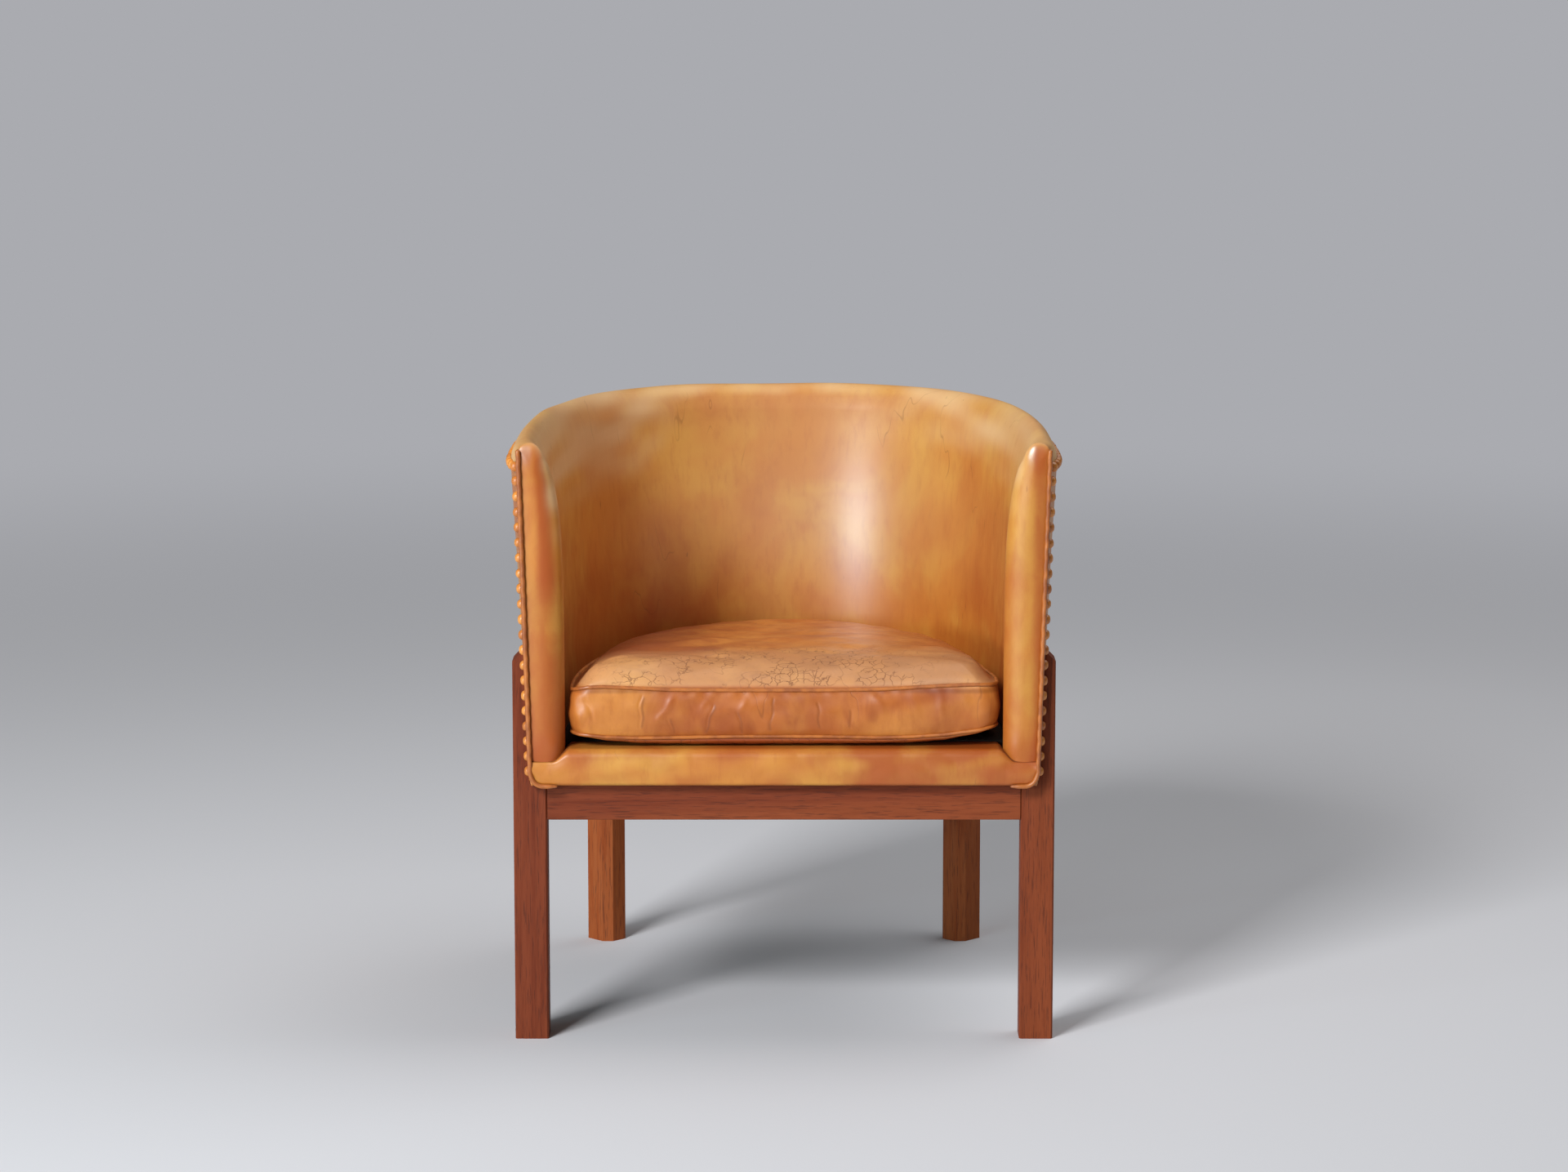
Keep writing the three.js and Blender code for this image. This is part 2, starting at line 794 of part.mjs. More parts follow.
function rimNails() {
  const low = rimNailLevel - stripWidth / 2;
  const high = rimNailLevel + stripWidth / 2;
  const start = frontNailDepth + stripWidth / 2 + fitGap;
  const reach = frameWidth;
  const heart = loft([low - 1, high + 1].map((z) =>
    stations.map((share) => facePoint(outerPlan, share, z, -rollRadius, tubFront - cutterReach)),
  ));
  const strip = stripShell.intersect(boxBetween([-reach, start, low], [reach, 2 * reach, high])).subtract(heart);
  const heads = [];
  let wait = nailSpacing / 2;
  for (let i = 0; i + 1 < stations.length; i += 1) {
    const from = facePoint(outerPlan, stations[i], rimNailLevel, stripGap, start);
    const to = facePoint(outerPlan, stations[i + 1], rimNailLevel, stripGap, start);
    const dx = to[0] - from[0];
    const dy = to[1] - from[1];
    const size = Math.hypot(dx, dy);
    while (wait < size) {
      const share = wait / size;
      const place = [from[0] + dx * share, from[1] + dy * share, rimNailLevel];
      heads.push(nailHead(place, [-dy / size, dx / size, 0], [0, 0, 1]));
      wait += nailSpacing;
    }
    wait -= size;
  }
  return Manifold.union([strip, ...heads]);
}

function frontNails(side) {
  const top = frontNailTop + nailRadius;
  const near = outerFrontBase - rollRadius;
  const low = side > 0 ? near : -frameWidth;
  const high = side > 0 ? frameWidth : -near;
  const y0 = frontNailDepth - stripWidth / 2;
  const strip = stripShell.intersect(boxBetween([low, y0, tubBottom], [high, y0 + stripWidth, top]));
  const share = side * mix(turnShare, 1, (widestDepth - frontNailDepth) / (widestDepth - tubFront));
  const count = Math.round((frontNailTop - frontNailBottom) / nailSpacing);
  const heads = levels(frontNailTop, frontNailBottom, count).map((z) => {
    const place = facePoint(outerPlan, share, z, stripGap, tubFront);
    return nailHead(place, [...outward(share, outerPlan(z), tubFront), 0], [0, 0, 1]);
  });
  return Manifold.union([strip, ...heads]);
}

// Loose seat cushion: boxed sides between two piped seams, crown above, belly below.
// In plan it has straight sides, a half ellipse at the back and round front corners.
const cushionHalf = innerHalfBase - cushionSideGap;
const cushionBack = innerBackBase - cushionBackGap;
const backTurns = 24;
const cornerTurns = 3;
const frontShares = [0.66, 0.33, 0, -0.33, -0.66];

function arc(turns, from, to, place) {
  return Array.from({ length: turns + 1 }, (_, i) => {
    const angle = mix(from, to, i / turns);
    return place(Math.cos(angle), Math.sin(angle));
  });
}

function cushionRing(inset) {
  const half = cushionHalf - inset;
  const reach = cushionBack - inset - cushionTurnDepth;
  const radius = cushionCornerRadius - inset;
  const centre = half - radius;
  const start = cushionFront + cushionCornerRadius;
  const back = arc(backTurns, Math.PI, 0, (c, s) => [half * c, cushionTurnDepth + reach * s]);
  const right = arc(cornerTurns, 0, -Math.PI / 2, (c, s) => [centre + radius * c, start + radius * s]);
  const left = arc(cornerTurns, -Math.PI / 2, -Math.PI, (c, s) => [radius * c - centre, start + radius * s]);
  const front = frontShares.map((share) => [
    centre * share,
    cushionFront + inset + cushionDrawIn * (1 - share * share),
  ]);
  return back.concat(right, front, left);
}

const seamInset = 2 * pipingRadius + fitGap;
const cushionMiddle = [0, mix(cushionFront, innerBackBase, 0.5)];

function shrunk(ring, share) {
  return ring.map(([x, y]) => [mix(cushionMiddle[0], x, share), mix(cushionMiddle[1], y, share)]);
}

function cushionBody() {
  const seam = cushionRing(seamInset);
  const rows = [];
  for (const [share, drop] of [[0.62, 1], [0.84, 0.94], [0.95, 0.6]]) {
    rows.push([shrunk(seam, share), mix(cushionLowSeam, cushionBottom, drop)]);
  }
  rows.push([seam, cushionLowSeam]);
  for (const share of [0.25, 0.5, 0.75]) {
    const z = mix(cushionLowSeam, cushionHighSeam, share);
    const swell = cushionBulge * 4 * share * (1 - share);
    rows.push([cushionRing(seamInset - swell), z]);
  }
  rows.push([seam, cushionHighSeam]);
  for (const [share, lift] of [[0.96, 0.22], [0.86, 0.5], [0.68, 0.76], [0.44, 0.93], [0.2, 1]]) {
    rows.push([shrunk(seam, share), cushionHighSeam + cushionCrown * lift]);
  }
  return loft(rows.map(([ring, z]) => ring.map(([x, y]) => tilted(x, y, z))));
}

const pipingSides = 5;

function piping(level) {
  const path = cushionRing(pipingRadius).map(([x, y]) => tilted(x, y, level));
  return loopLoft(tubeRings(path, pipingRadius, pipingSides, true, new THREE.Vector3(0, 0, 1)));
}

// Assembly
const group = new THREE.Group();
group.name = "leather_tub_armchair";

function put(name, solid, material) {
  const mesh = solid.getMesh();
  const geometry = new THREE.BufferGeometry();
  const source = mesh.vertProperties;
  const step = mesh.numProp;
  const positions = new Float32Array(mesh.triVerts.length * 3);
  mesh.triVerts.forEach((vertex, i) => {
    for (let n = 0; n < 3; n += 1) {
      positions[i * 3 + n] = source[vertex * step + n];
    }
  });
  geometry.setAttribute("position", new THREE.BufferAttribute(positions, 3));
  geometry.computeVertexNormals();
  const item = new THREE.Mesh(geometry, material);
  item.name = name;
  group.add(item);
}

const sides = [[-1, "left"], [1, "right"]];

put("front_rail", frontRail(), mahogany);
put("back_rail", backRail(), mahogany);
for (const [side, word] of sides) {
  put(`front_leg_${word}`, frontLeg(side), mahogany);
  put(`rear_leg_${word}`, rearLeg(side), mahogany);
  put(`side_rail_${word}`, sideRail(side), mahogany);
  put(`corner_block_${word}`, cornerBlock(side), beech);
  put(`arm_post_${word}`, post(side, 0), beech);
  put(`edge_welt_${word}`, edgeWelt(side), darkLeather);
  put(`front_nails_${word}`, frontNails(side), darkLeather);
  screwDepths.forEach((depth, i) => {
    put(`tub_screw_${word}_${i + 1}`, screw(side, depth, 0), steel);
  });
}
let baseBoard = board(0, boardFront);
for (const [side] of sides) {
  for (const depth of screwDepths) {
    baseBoard = baseBoard.subtract(screw(side, depth, fitGap));
  }
}
put("tub_board", baseBoard, ply);
stileShares.forEach((share, i) => {
  put(`wall_stile_${i + 1}`, stile(share, 0), beech);
});
put("rim_rail", rimRail(0), beech);
put("wall_padding", padding(), wadding);
put("inner_leather", skin.subtract(skinCutterWide), leather);
put("outer_leather", skin.intersect(skinCutter), leather);
put("front_border", frontBorder(), leather);
put("rim_nails", rimNails(), darkLeather);
put("seat_pad", seatPad(), wadding);
put("dust_cover", dustCover(), cambric);
put("seat_cushion", cushionBody(), leather);
put("cushion_piping_top", piping(cushionHighSeam), darkLeather);
put("cushion_piping_bottom", piping(cushionLowSeam), darkLeather);

// Origin on the floor under the middle of the chair
const box = new THREE.Box3().setFromObject(group);
const middle = box.getCenter(new THREE.Vector3());
for (const item of group.children) {
  item.geometry.translate(-middle.x, -middle.y, -box.min.z);
}

export default group;
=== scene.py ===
import math

import bpy
import numpy as np
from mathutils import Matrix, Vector


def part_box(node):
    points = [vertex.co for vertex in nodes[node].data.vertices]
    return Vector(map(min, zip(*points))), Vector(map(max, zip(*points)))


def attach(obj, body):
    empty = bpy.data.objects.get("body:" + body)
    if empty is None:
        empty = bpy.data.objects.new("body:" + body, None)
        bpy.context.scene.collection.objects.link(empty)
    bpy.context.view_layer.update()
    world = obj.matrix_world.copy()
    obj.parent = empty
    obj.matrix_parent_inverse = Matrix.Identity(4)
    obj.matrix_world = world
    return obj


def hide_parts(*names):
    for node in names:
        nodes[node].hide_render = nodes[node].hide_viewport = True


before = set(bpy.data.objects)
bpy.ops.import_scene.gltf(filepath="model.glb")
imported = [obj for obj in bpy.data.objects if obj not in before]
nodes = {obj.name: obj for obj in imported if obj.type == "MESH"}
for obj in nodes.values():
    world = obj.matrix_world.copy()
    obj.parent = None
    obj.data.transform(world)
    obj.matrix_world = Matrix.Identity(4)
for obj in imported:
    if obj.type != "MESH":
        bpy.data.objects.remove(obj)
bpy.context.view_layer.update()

# Mahogany frame: two square front legs that rise past the tub as tongues, two rear legs turned
# 45 degrees, and flat rails between them. Oiled mahogany, mortised and glued, edges eased by hand.
arris_width = 0.0009
arris_steps = 2
arris_angle = 32
weld_gap = 1e-5
mahogany_red = (120, 53, 26)
mahogany_dark = (102, 39, 14)
mahogany_pale = (146, 72, 36)
# Rear legs: a lighter copy of the same mahogany, painted light for their turned faces.
lit_rear_red = (148, 76, 34)
lit_rear_dark = (134, 58, 16)
lit_rear_pale = (168, 92, 44)
pore_brown = (66, 28, 17)
grain_stretch = 0.06
pore_stretch = 0.05
pore_depth = 0.00012


def rgb(red, green, blue):
    """Linear colour of an sRGB triple: a straight line near black, a power of 2.4 above it."""
    share = np.array([red, green, blue]) / 255
    linear = np.where(share <= 0.04045, share / 12.92, ((share + 0.055) / 1.055) ** 2.4)
    return (*linear.tolist(), 1.0)


class Reading:
    """A value at one surface point: sums, products and powers of readings add Math nodes."""

    def __init__(self, finish, socket):
        self.finish = finish
        self.socket = socket

    def math(self, operation, *values):
        return self.finish.node("ShaderNodeMath", {"operation": operation}, dict(enumerate(values)))

    def __add__(self, other):
        return self.math("ADD", self, other)

    def __sub__(self, other):
        return self.math("SUBTRACT", self, other)

    def __rsub__(self, other):
        return self.math("SUBTRACT", other, self)

    def __mul__(self, other):
        return self.math("MULTIPLY", self, other)

    def __abs__(self):
        return self.math("ABSOLUTE", self)

    __radd__ = __add__
    __rmul__ = __mul__


class Finish:
    """A material under construction: the surface shader, and the nodes that vary it."""

    def __init__(self, name):
        self.material = bpy.data.materials.new(name)
        self.material.use_nodes = True
        self.tree = self.material.node_tree
        self.surface = self.tree.nodes["Principled BSDF"]

    def node(self, kind, settings, inputs, output=0):
        """Adds a node: its settings first, then the value or the link of each named socket."""
        node = self.tree.nodes.new(kind)
        for key, value in settings.items():
            setattr(node, key, value)
        for key, value in inputs.items():
            self.put(node.inputs[key], value)
        return Reading(self, node.outputs[output])

    def put(self, socket, value):
        if isinstance(value, Reading):
            self.tree.links.new(value.socket, socket)
        else:
            socket.default_value = value

    def coat(self, **values):
        """Sets sockets of the surface shader; an underscore in a name stands for a space."""
        for key, value in values.items():
            self.put(self.surface.inputs[key.replace("_", " ")], value)

    def place(self, stretch=(1.0, 1.0, 1.0)):
        """Object coordinates, multiplied along each axis to stretch a pattern."""
        coords = self.node("ShaderNodeTexCoord", {}, {}, "Object")
        return self.node("ShaderNodeVectorMath", {"operation": "MULTIPLY"}, {0: coords, 1: stretch})

    def attribute(self, name):
        return self.node("ShaderNodeAttribute", {"attribute_name": name}, {}, "Fac")

    def noise(self, place, scale, detail=2.0, rough=0.5, warp=0.0):
        inputs = {"Vector": place, "Scale": scale, "Detail": detail, "Roughness": rough, "Distortion": warp}
        return self.node("ShaderNodeTexNoise", {}, inputs)

    def ramp(self, value, low, high):
        """Smooth step from 0 below the low value to 1 above the high one."""
        limits = {"Value": value, "From Min": low, "From Max": high}
        return self.node("ShaderNodeMapRange", {"interpolation_type": "SMOOTHSTEP"}, limits)

    def tint(self, share, first, second):
        """Colour mix: a share of 0 is the first colour, 1 is the second."""
        return self.node("ShaderNodeMix", {"data_type": "RGBA"}, {0: share, 6: first, 7: second}, 2)

    def relief(self, height, depth, strength=1.0):
        """Bump whose height, 0 to 1, stands for the given depth in metres."""
        return self.node("ShaderNodeBump", {}, {"Height": height, "Distance": depth, "Strength": strength})


def drawn_out(axis, stretch):
    """Scales of a pattern that is drawn out along one axis: a small scale there, 1 across it."""
    scales = [1.0, 1.0, 1.0]
    scales[axis] = stretch
    return scales


def mahogany(name, plain, dark, pale, axis):
    """Straight-grained mahogany: broad bands, fine fibres and short dark pores along one axis."""
    finish = Finish(name)
    along = drawn_out(axis, grain_stretch)
    pore_run = drawn_out(axis, pore_stretch)
    bands = finish.noise(finish.place(along), 96, 4, 0.6, 0.4)
    fibres = finish.noise(finish.place(along), 330, 4, 0.65)
    pores = finish.ramp(finish.noise(finish.place(pore_run), 700, 2, 0.6), 0.55, 0.65)
    ribbon = finish.noise(finish.place(along), 11, 1, 0.5, 0.4)
    colour = finish.tint(finish.ramp(bands, 0.28, 0.6), rgb(*dark), rgb(*plain))
    colour = finish.tint(finish.ramp(ribbon, 0.45, 0.7) * 0.6, colour, rgb(*pale))
    colour = finish.tint(finish.ramp(fibres, 0.45, 0.75) * 0.35, colour, rgb(*dark))
    colour = finish.tint(pores * 0.5, colour, rgb(*pore_brown))
    height = fibres * 0.4 - pores * 0.6
    finish.coat(
        Base_Color=colour,
        Roughness=finish.ramp(fibres, 0.2, 0.9) * 0.16 + 0.55,
        Specular_IOR_Level=0.22,
        Normal=finish.relief(height, pore_depth),
    )
    return finish.material


def dress(obj, material):
    obj.data.materials.clear()
    obj.data.materials.append(material)


def ease_edges(obj, width, steps):
    """Joins the loose triangles of a solid and rounds its sharp edges."""
    weld = obj.modifiers.new("weld", "WELD")
    weld.merge_threshold = weld_gap
    bevel = obj.modifiers.new("arris", "BEVEL")
    bevel.width = width
    bevel.segments = steps
    bevel.limit_method = "ANGLE"
    bevel.angle_limit = math.radians(arris_angle)
    bevel.harden_normals = True


leg_wood = mahogany("leg_mahogany", mahogany_red, mahogany_dark, mahogany_pale, 2)
cross_wood = mahogany("front_rail_mahogany", mahogany_red, mahogany_dark, mahogany_pale, 0)
side_wood = mahogany("side_rail_mahogany", mahogany_red, mahogany_dark, mahogany_pale, 1)
# Painted light: the lighter copy of the mahogany for the rear legs.
lit_rear_wood = mahogany("rear_leg_mahogany_lit", lit_rear_red, lit_rear_dark, lit_rear_pale, 2)
frame_woods = {
    "front_leg_left": leg_wood,
    "front_leg_right": leg_wood,
    "rear_leg_left": lit_rear_wood,
    "rear_leg_right": lit_rear_wood,
    "front_rail": cross_wood,
    "back_rail": cross_wood,
    "side_rail_left": side_wood,
    "side_rail_right": side_wood,
}
for name, material in frame_woods.items():
    dress(nodes[name], material)
    ease_edges(nodes[name], arris_width, arris_steps)

# Carcass: planed beech posts, stiles, rim rail and corner blocks, and a plywood board, hidden
# under the leather. Four steel screws hold the board to the side rails.
beech_plain = (200, 160, 112)
beech_dark = (170, 124, 78)
ply_plain = (190, 150, 102)
ply_dark = (150, 108, 66)
fleck_stretch = 0.08
fleck_depth = 0.0001
screw_grey = (150, 149, 145)
screw_arris = 0.0004


def beech(name, plain, dark, axis):
    """Pale planed wood: fine fleck and fibres stretched along one axis."""
    finish = Finish(name)
    fibres = finish.noise(finish.place(drawn_out(axis, fleck_stretch)), 180, 4, 0.6)
    colour = finish.tint(finish.ramp(fibres, 0.35, 0.7), rgb(*plain), rgb(*dark))
    finish.coat(Base_Color=colour, Roughness=0.62, Normal=finish.relief(fibres, fleck_depth))
    return finish.material


block_wood = beech("block_beech", beech_plain, beech_dark, 2)
rim_wood = beech("rim_beech", beech_plain, beech_dark, 0)
board_wood = beech("board_plywood", ply_plain, ply_dark, 0)
for name, node in nodes.items():
    if name.startswith(("corner_block", "arm_post", "wall_stile")):
        dress(node, block_wood)
        ease_edges(node, arris_width, 1)
dress(nodes["rim_rail"], rim_wood)
dress(nodes["tub_board"], board_wood)

screw_steel = Finish("screw_steel")
turned = screw_steel.noise(screw_steel.place(drawn_out(2, 0.2)), 900, 2)
screw_steel.coat(
    Base_Color=rgb(*screw_grey),
    Metallic=1.0,
    Roughness=screw_steel.ramp(turned, 0.3, 0.8) * 0.2 + 0.28,
)
for name, node in nodes.items():
    if name.startswith("tub_screw"):
        dress(node, screw_steel.material)
        ease_edges(node, screw_arris, 1)

# Tub shape: a squared oval in plan that flares towards the rim, with arms that draw in to the
# front. Depths are counted back from the face of the front rail, in metres.
rail_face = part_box("front_rail")[0].y
tub_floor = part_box("tub_board")[0].z
skin_over_padding = 0.0024
rim_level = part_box("wall_padding")[1].z + skin_over_padding
roll_radius = 0.0205
roll_centre = rim_level - roll_radius
tub_front = -0.018
widest = 0.070
plan_power = 2.75
turn_share = 0.86
outer_floor_plan = (0.312, 0.308, 0.596)
outer_rim_plan = (0.333, 0.3195, 0.620)
inner_seat_plan = (0.2745, 0.2665, 0.536)
inner_rim_plan = (0.292, 0.286, 0.579)
inner_seat_level = 0.350
back_flare = 1.4
arm_flare = 6.5
arm_flare_shares = (0.7, 0.95)
normal_step = 1e-3
hide = 0.0021


def smooth(low, high, value):
    """Smooth step: 0 below the low value, 1 above the high one, a cubic between them."""
    share = np.clip((value - low) / (high - low), 0, 1)
    return share * share * (3 - 2 * share)


def mix(first, second, share):
    return first + (second - first) * share


def plan_point(share, half, front, back):
    """Superellipse round the back; along the arms the half width falls by the square of the way."""
    run = np.abs(share)
    side = np.where(share < 0, -1.0, 1.0)
    angle = (1 - np.minimum(run / turn_share, 1)) * np.pi / 2
    reach = back - widest
    across = (np.abs(np.cos(angle)) / half) ** plan_power
    radius = (across + (np.abs(np.sin(angle)) / reach) ** plan_power) ** (-1 / plan_power)
    fall = np.clip((run - turn_share) / (1 - turn_share), 0, None)
    on_arm = run >= turn_share
    x = np.where(on_arm, half - (half - front) * fall**2, radius * np.cos(angle))
    y = np.where(on_arm, widest + (tub_front - widest) * fall, widest + radius * np.sin(angle))
    return side * x, y


def outer_plan(z, share=0.0):
    share = np.minimum(1, (z - tub_floor) / (roll_centre - tub_floor))
    return [mix(low, high, share) for low, high in zip(outer_floor_plan, outer_rim_plan)]


def inner_plan(z, share=0.0):
    """The inner face flares as a power of the height, a higher one at the arms than at the back."""
    height = np.clip((z - inner_seat_level) / (roll_centre - inner_seat_level), 0, 1)
    flare = height ** mix(back_flare, arm_flare, smooth(*arm_flare_shares, np.abs(share)))
    return [mix(low, high, flare) for low, high in zip(inner_seat_plan, inner_rim_plan)]


def face(plan, share, z, move=0.0):
    """A point of the inner or outer face, moved outward along the plan's normal."""
    sizes = plan(z, share)
    x, y = plan_point(share, *sizes)
    x0, y0 = plan_point(share - normal_step, *sizes)
    x1, y1 = plan_point(share + normal_step, *sizes)
    size = np.hypot(x1 - x0, y1 - y0)
    return np.stack([x - (y1 - y0) / size * move, y + (x1 - x0) / size * move, z + 0 * x], axis=-1)


def in_frame(points):
    """From depths behind the front rail's face to the frame's own origin."""
    return points + np.array([0.0, rail_face, 0.0])


def grid_faces(rows, columns, wrap_rows=False, wrap_columns=False):
    """Corner numbers of the quads between neighbouring rows and columns of a grid."""
    down = np.arange(rows if wrap_rows else rows - 1)
    over = np.arange(columns if wrap_columns else columns - 1)
    row, column = np.meshgrid(down, over, indexing="ij")
    row_next = (row + 1) % rows
    column_next = (column + 1) % columns
    corners = [row * columns + column, row_next * columns + column]
    corners += [row_next * columns + column_next, row * columns + column_next]
    return np.stack(corners, axis=-1).reshape(-1, 4)


def make_piece(name, points, faces, material, marks=None, weld=0.0):
    """A smooth mesh object at the origin, from an array of points and an array of quads."""
    mesh = bpy.data.meshes.new(name)
    flat = points.reshape(-1, 3)
    mesh.vertices.add(len(flat))
    mesh.vertices.foreach_set("co", flat.ravel())
    mesh.loops.add(faces.size)
    mesh.loops.foreach_set("vertex_index", faces.ravel().astype(np.int32))
    mesh.polygons.add(len(faces))
    mesh.polygons.foreach_set("loop_start", np.arange(len(faces), dtype=np.int32) * faces.shape[1])
    mesh.update(calc_edges=True)
    mesh.validate()
    mesh.shade_smooth()
    for mark, values in (marks or {}).items():
        layer = mesh.attributes.new(mark, "FLOAT", "POINT")
        whole = np.broadcast_to(values, points.shape[:-1])
        layer.data.foreach_set("value", whole.ravel().astype(np.float32))
    mesh.materials.append(material)
    obj = bpy.data.objects.new(name, mesh)
    bpy.context.scene.collection.objects.link(obj)
    if weld:
        modifier = obj.modifiers.new("weld", "WELD")
        modifier.merge_threshold = weld
    return obj


def bell(value, centre, width):
    """Gaussian: 1 at the centre, and a third of that one width away from it."""
    return np.exp(-(((value - centre) / width) ** 2))


def waves(u, v, seed, count, slow=1.0, fast=4.0):
    """A sum of sine waves in seeded directions and phases, about -1 to 1."""
    draw = np.random.default_rng(seed)
    total = 0.0
    for _ in range(count):
        pitch_u, pitch_v = draw.uniform(slow, fast, 2) * draw.choice([-1, 1], 2)
        total = total + np.sin(u * pitch_u + v * pitch_v + draw.uniform(0, 2 * np.pi))
    return total / math.sqrt(count)


# Inner leather: one hide from the seat up the inside, over the padded rim and round the front of
# both arms. Waxed natural cowhide over hair and cotton, stretched and tacked; dark and red where
# it is handled, darker still with painted shade low on the left wall and on the right-hand half
# of each arm front, and a painted pale pinkish sheen of light on top of the rim.
hide_gold = (207, 150, 63)
hide_amber = (198, 125, 47)
hide_rust = (160, 67, 18)
painted_light_pink = (223, 186, 138)
crack_and_shade_brown = (92, 42, 20)
hide_relief = 0.00035
scratch_lean = 14
cell_warp = 0.016
crest_share = 0.55
inner_roll_drop = 0.034
corner_roll_extra = 0.022
outer_roll_drop = 0.030
arm_roll_drop = 0.014
inner_roll_power = 1.9
outer_roll_power = 1.8
arm_roll_power = 2.6
arm_shares = (0.88, 0.99)
corner_rise_shares = (0.25, 0.5)
corner_fall_shares = (0.97, 0.86)
arm_middle = 0.58
arm_power = 2.0
arm_inner_depth = 0.024
arm_top_depth = 0.008
arm_outer_depth = 0.0035
arm_top_shares = (0.36, 0.44)
arm_outer_shares = (0.5, 0.6)
arm_middle_drop = 0.006
arm_notch = 0.0022
arm_notch_levels = (0.359, 0.354)
arm_bulge = 0.003
arm_bulge_level = 0.368
arm_bulge_height = 0.010
arm_bulge_places = (0.292, 0.276)
lap_level = 0.7075
lap_over = 0.003
lap_under = 0.001
lap_gap = 0.0006
lap_end = 0.690
skin_foot = 0.330
skin_lump = 0.0006


def scratch_marks(finish, place):
    """Thin noise drawn out upwards and kept in patches, plus hairlines where a slow noise is 0.5."""
    slant = {"Vector": place, "Rotation": (0.0, math.radians(scratch_lean), 0.0), "Scale": (1.0, 1.0, 0.12)}
    slanted = finish.node("ShaderNodeMapping", {}, slant)
    scratches = finish.ramp(finish.noise(slanted, 260, 1, 0.4), 0.77, 0.81)
    kept = finish.ramp(finish.noise(place, 16, 2), 0.55, 0.66)
    wander = finish.noise(finish.place((1.0, 1.0, 0.3)), 11, 3, 0.55)
    near_line = 1 - finish.ramp(abs(wander - 0.5), 0.0, 0.004)
    hairlines = near_line * finish.ramp(finish.noise(place, 9, 1), 0.56, 0.62)
    return scratches * kept + hairlines * 0.7


def dry_cracks(finish, place, clouds):
    """Edges of warped cells, broken up by noise and kept to where the cracking mark is."""
    drift = finish.node("ShaderNodeTexNoise", {}, {"Vector": place, "Scale": 70.0, "Detail": 3.0}, 1)
    shift = {0: drift, 1: (cell_warp, cell_warp, cell_warp), 2: place}
    warped = finish.node("ShaderNodeVectorMath", {"operation": "MULTIPLY_ADD"}, shift)
    edges = {"feature": "DISTANCE_TO_EDGE"}
    cells = finish.node("ShaderNodeTexVoronoi", edges, {"Vector": warped, "Scale": 78.0}, "Distance")
    broken = finish.ramp(finish.noise(place, 30, 2), 0.42, 0.52)
    worn = finish.ramp(finish.attribute("cracking") + clouds, 0.75, 1.3)
    return (1 - finish.ramp(cells, 0.0, 0.05)) * worn * broken


def cowhide(name, gold, amber, rust, crack_share, gloss, polish, patching):
    """Waxed hide: cloudy tones, rust patches, fine scratches, pores and creases; marks add wear,
    painted shade and painted light.
    """
    finish = Finish(name)
    place = finish.place()
    streaky = finish.place((1.0, 1.0, 0.5))
    clouds = finish.noise(place, 7, 3, 0.6, 0.6)
    mottle = finish.noise(streaky, 34, 4, 0.62, 0.5)
    grain = finish.noise(place, 950, 2, 0.6)
    patches = finish.noise(streaky, 15, 3, 0.55, 1.2)
    streaks = finish.noise(finish.place((1.0, 1.0, 0.22)), 120, 4, 0.65)
    patina_and_shade = finish.attribute("patina_and_shade")
    painted_light = finish.attribute("painted_light")
    soil_and_shade = finish.attribute("soil_and_shade")
    shine = finish.attribute("shine")
    scratches = scratch_marks(finish, place)
    cracks = dry_cracks(finish, place, clouds) * crack_share
    colour = finish.tint(finish.ramp(clouds, 0.36, 0.66), rgb(*amber), rgb(*gold))
    colour = finish.tint(finish.ramp(mottle, 0.42, 0.72) * 0.22, colour, rgb(*amber))
    colour = finish.tint(finish.ramp(streaks, 0.48, 0.74) * 0.22, colour, rgb(*rust))
    colour = finish.tint(finish.ramp(patches, 0.5, 0.72) * patching, colour, rgb(*rust))
    # Rust tint: partly wear and partly painted shade.
    worn_and_shaded = finish.ramp(patina_and_shade + mottle * 0.5 - 0.25, 0.0, 1.0)
    colour = finish.tint(worn_and_shaded * 0.85, colour, rgb(*rust))
    # Painted light: a pale pinkish sheen on the rim and back, and a paler lit front on the cushion.
    colour = finish.tint(painted_light * 0.75, colour, rgb(*painted_light_pink))
    # Scratches, cracks, and dirt with painted shade in seams and narrow grooves, in dark brown.
    for mark, strength in ((scratches, 0.4), (cracks, 0.6), (soil_and_shade, 0.75)):
        colour = finish.tint(mark * strength, colour, rgb(*crack_and_shade_brown))
    rough = gloss + finish.ramp(mottle, 0.3, 0.8) * 0.08
    height = grain * 0.08 + mottle * 0.2 - scratches * 0.5 - cracks * 0.9
    finish.coat(
        Base_Color=colour,
        Roughness=rough + painted_light * 0.15 + cracks * 0.2 - shine * 0.1,
        Specular_IOR_Level=0.3,
        Coat_Weight=shine * polish,
        Coat_Roughness=0.36,
        Coat_IOR=2.25,
        Normal=finish.relief(height, hide_relief),
    )
    return finish.material


hide_skin = cowhide(
    "tub_hide",
    hide_gold,
    hide_amber,
    hide_rust,
    crack_share=0.0,
    gloss=0.46,
    polish=1.0,
    patching=0.16,
)


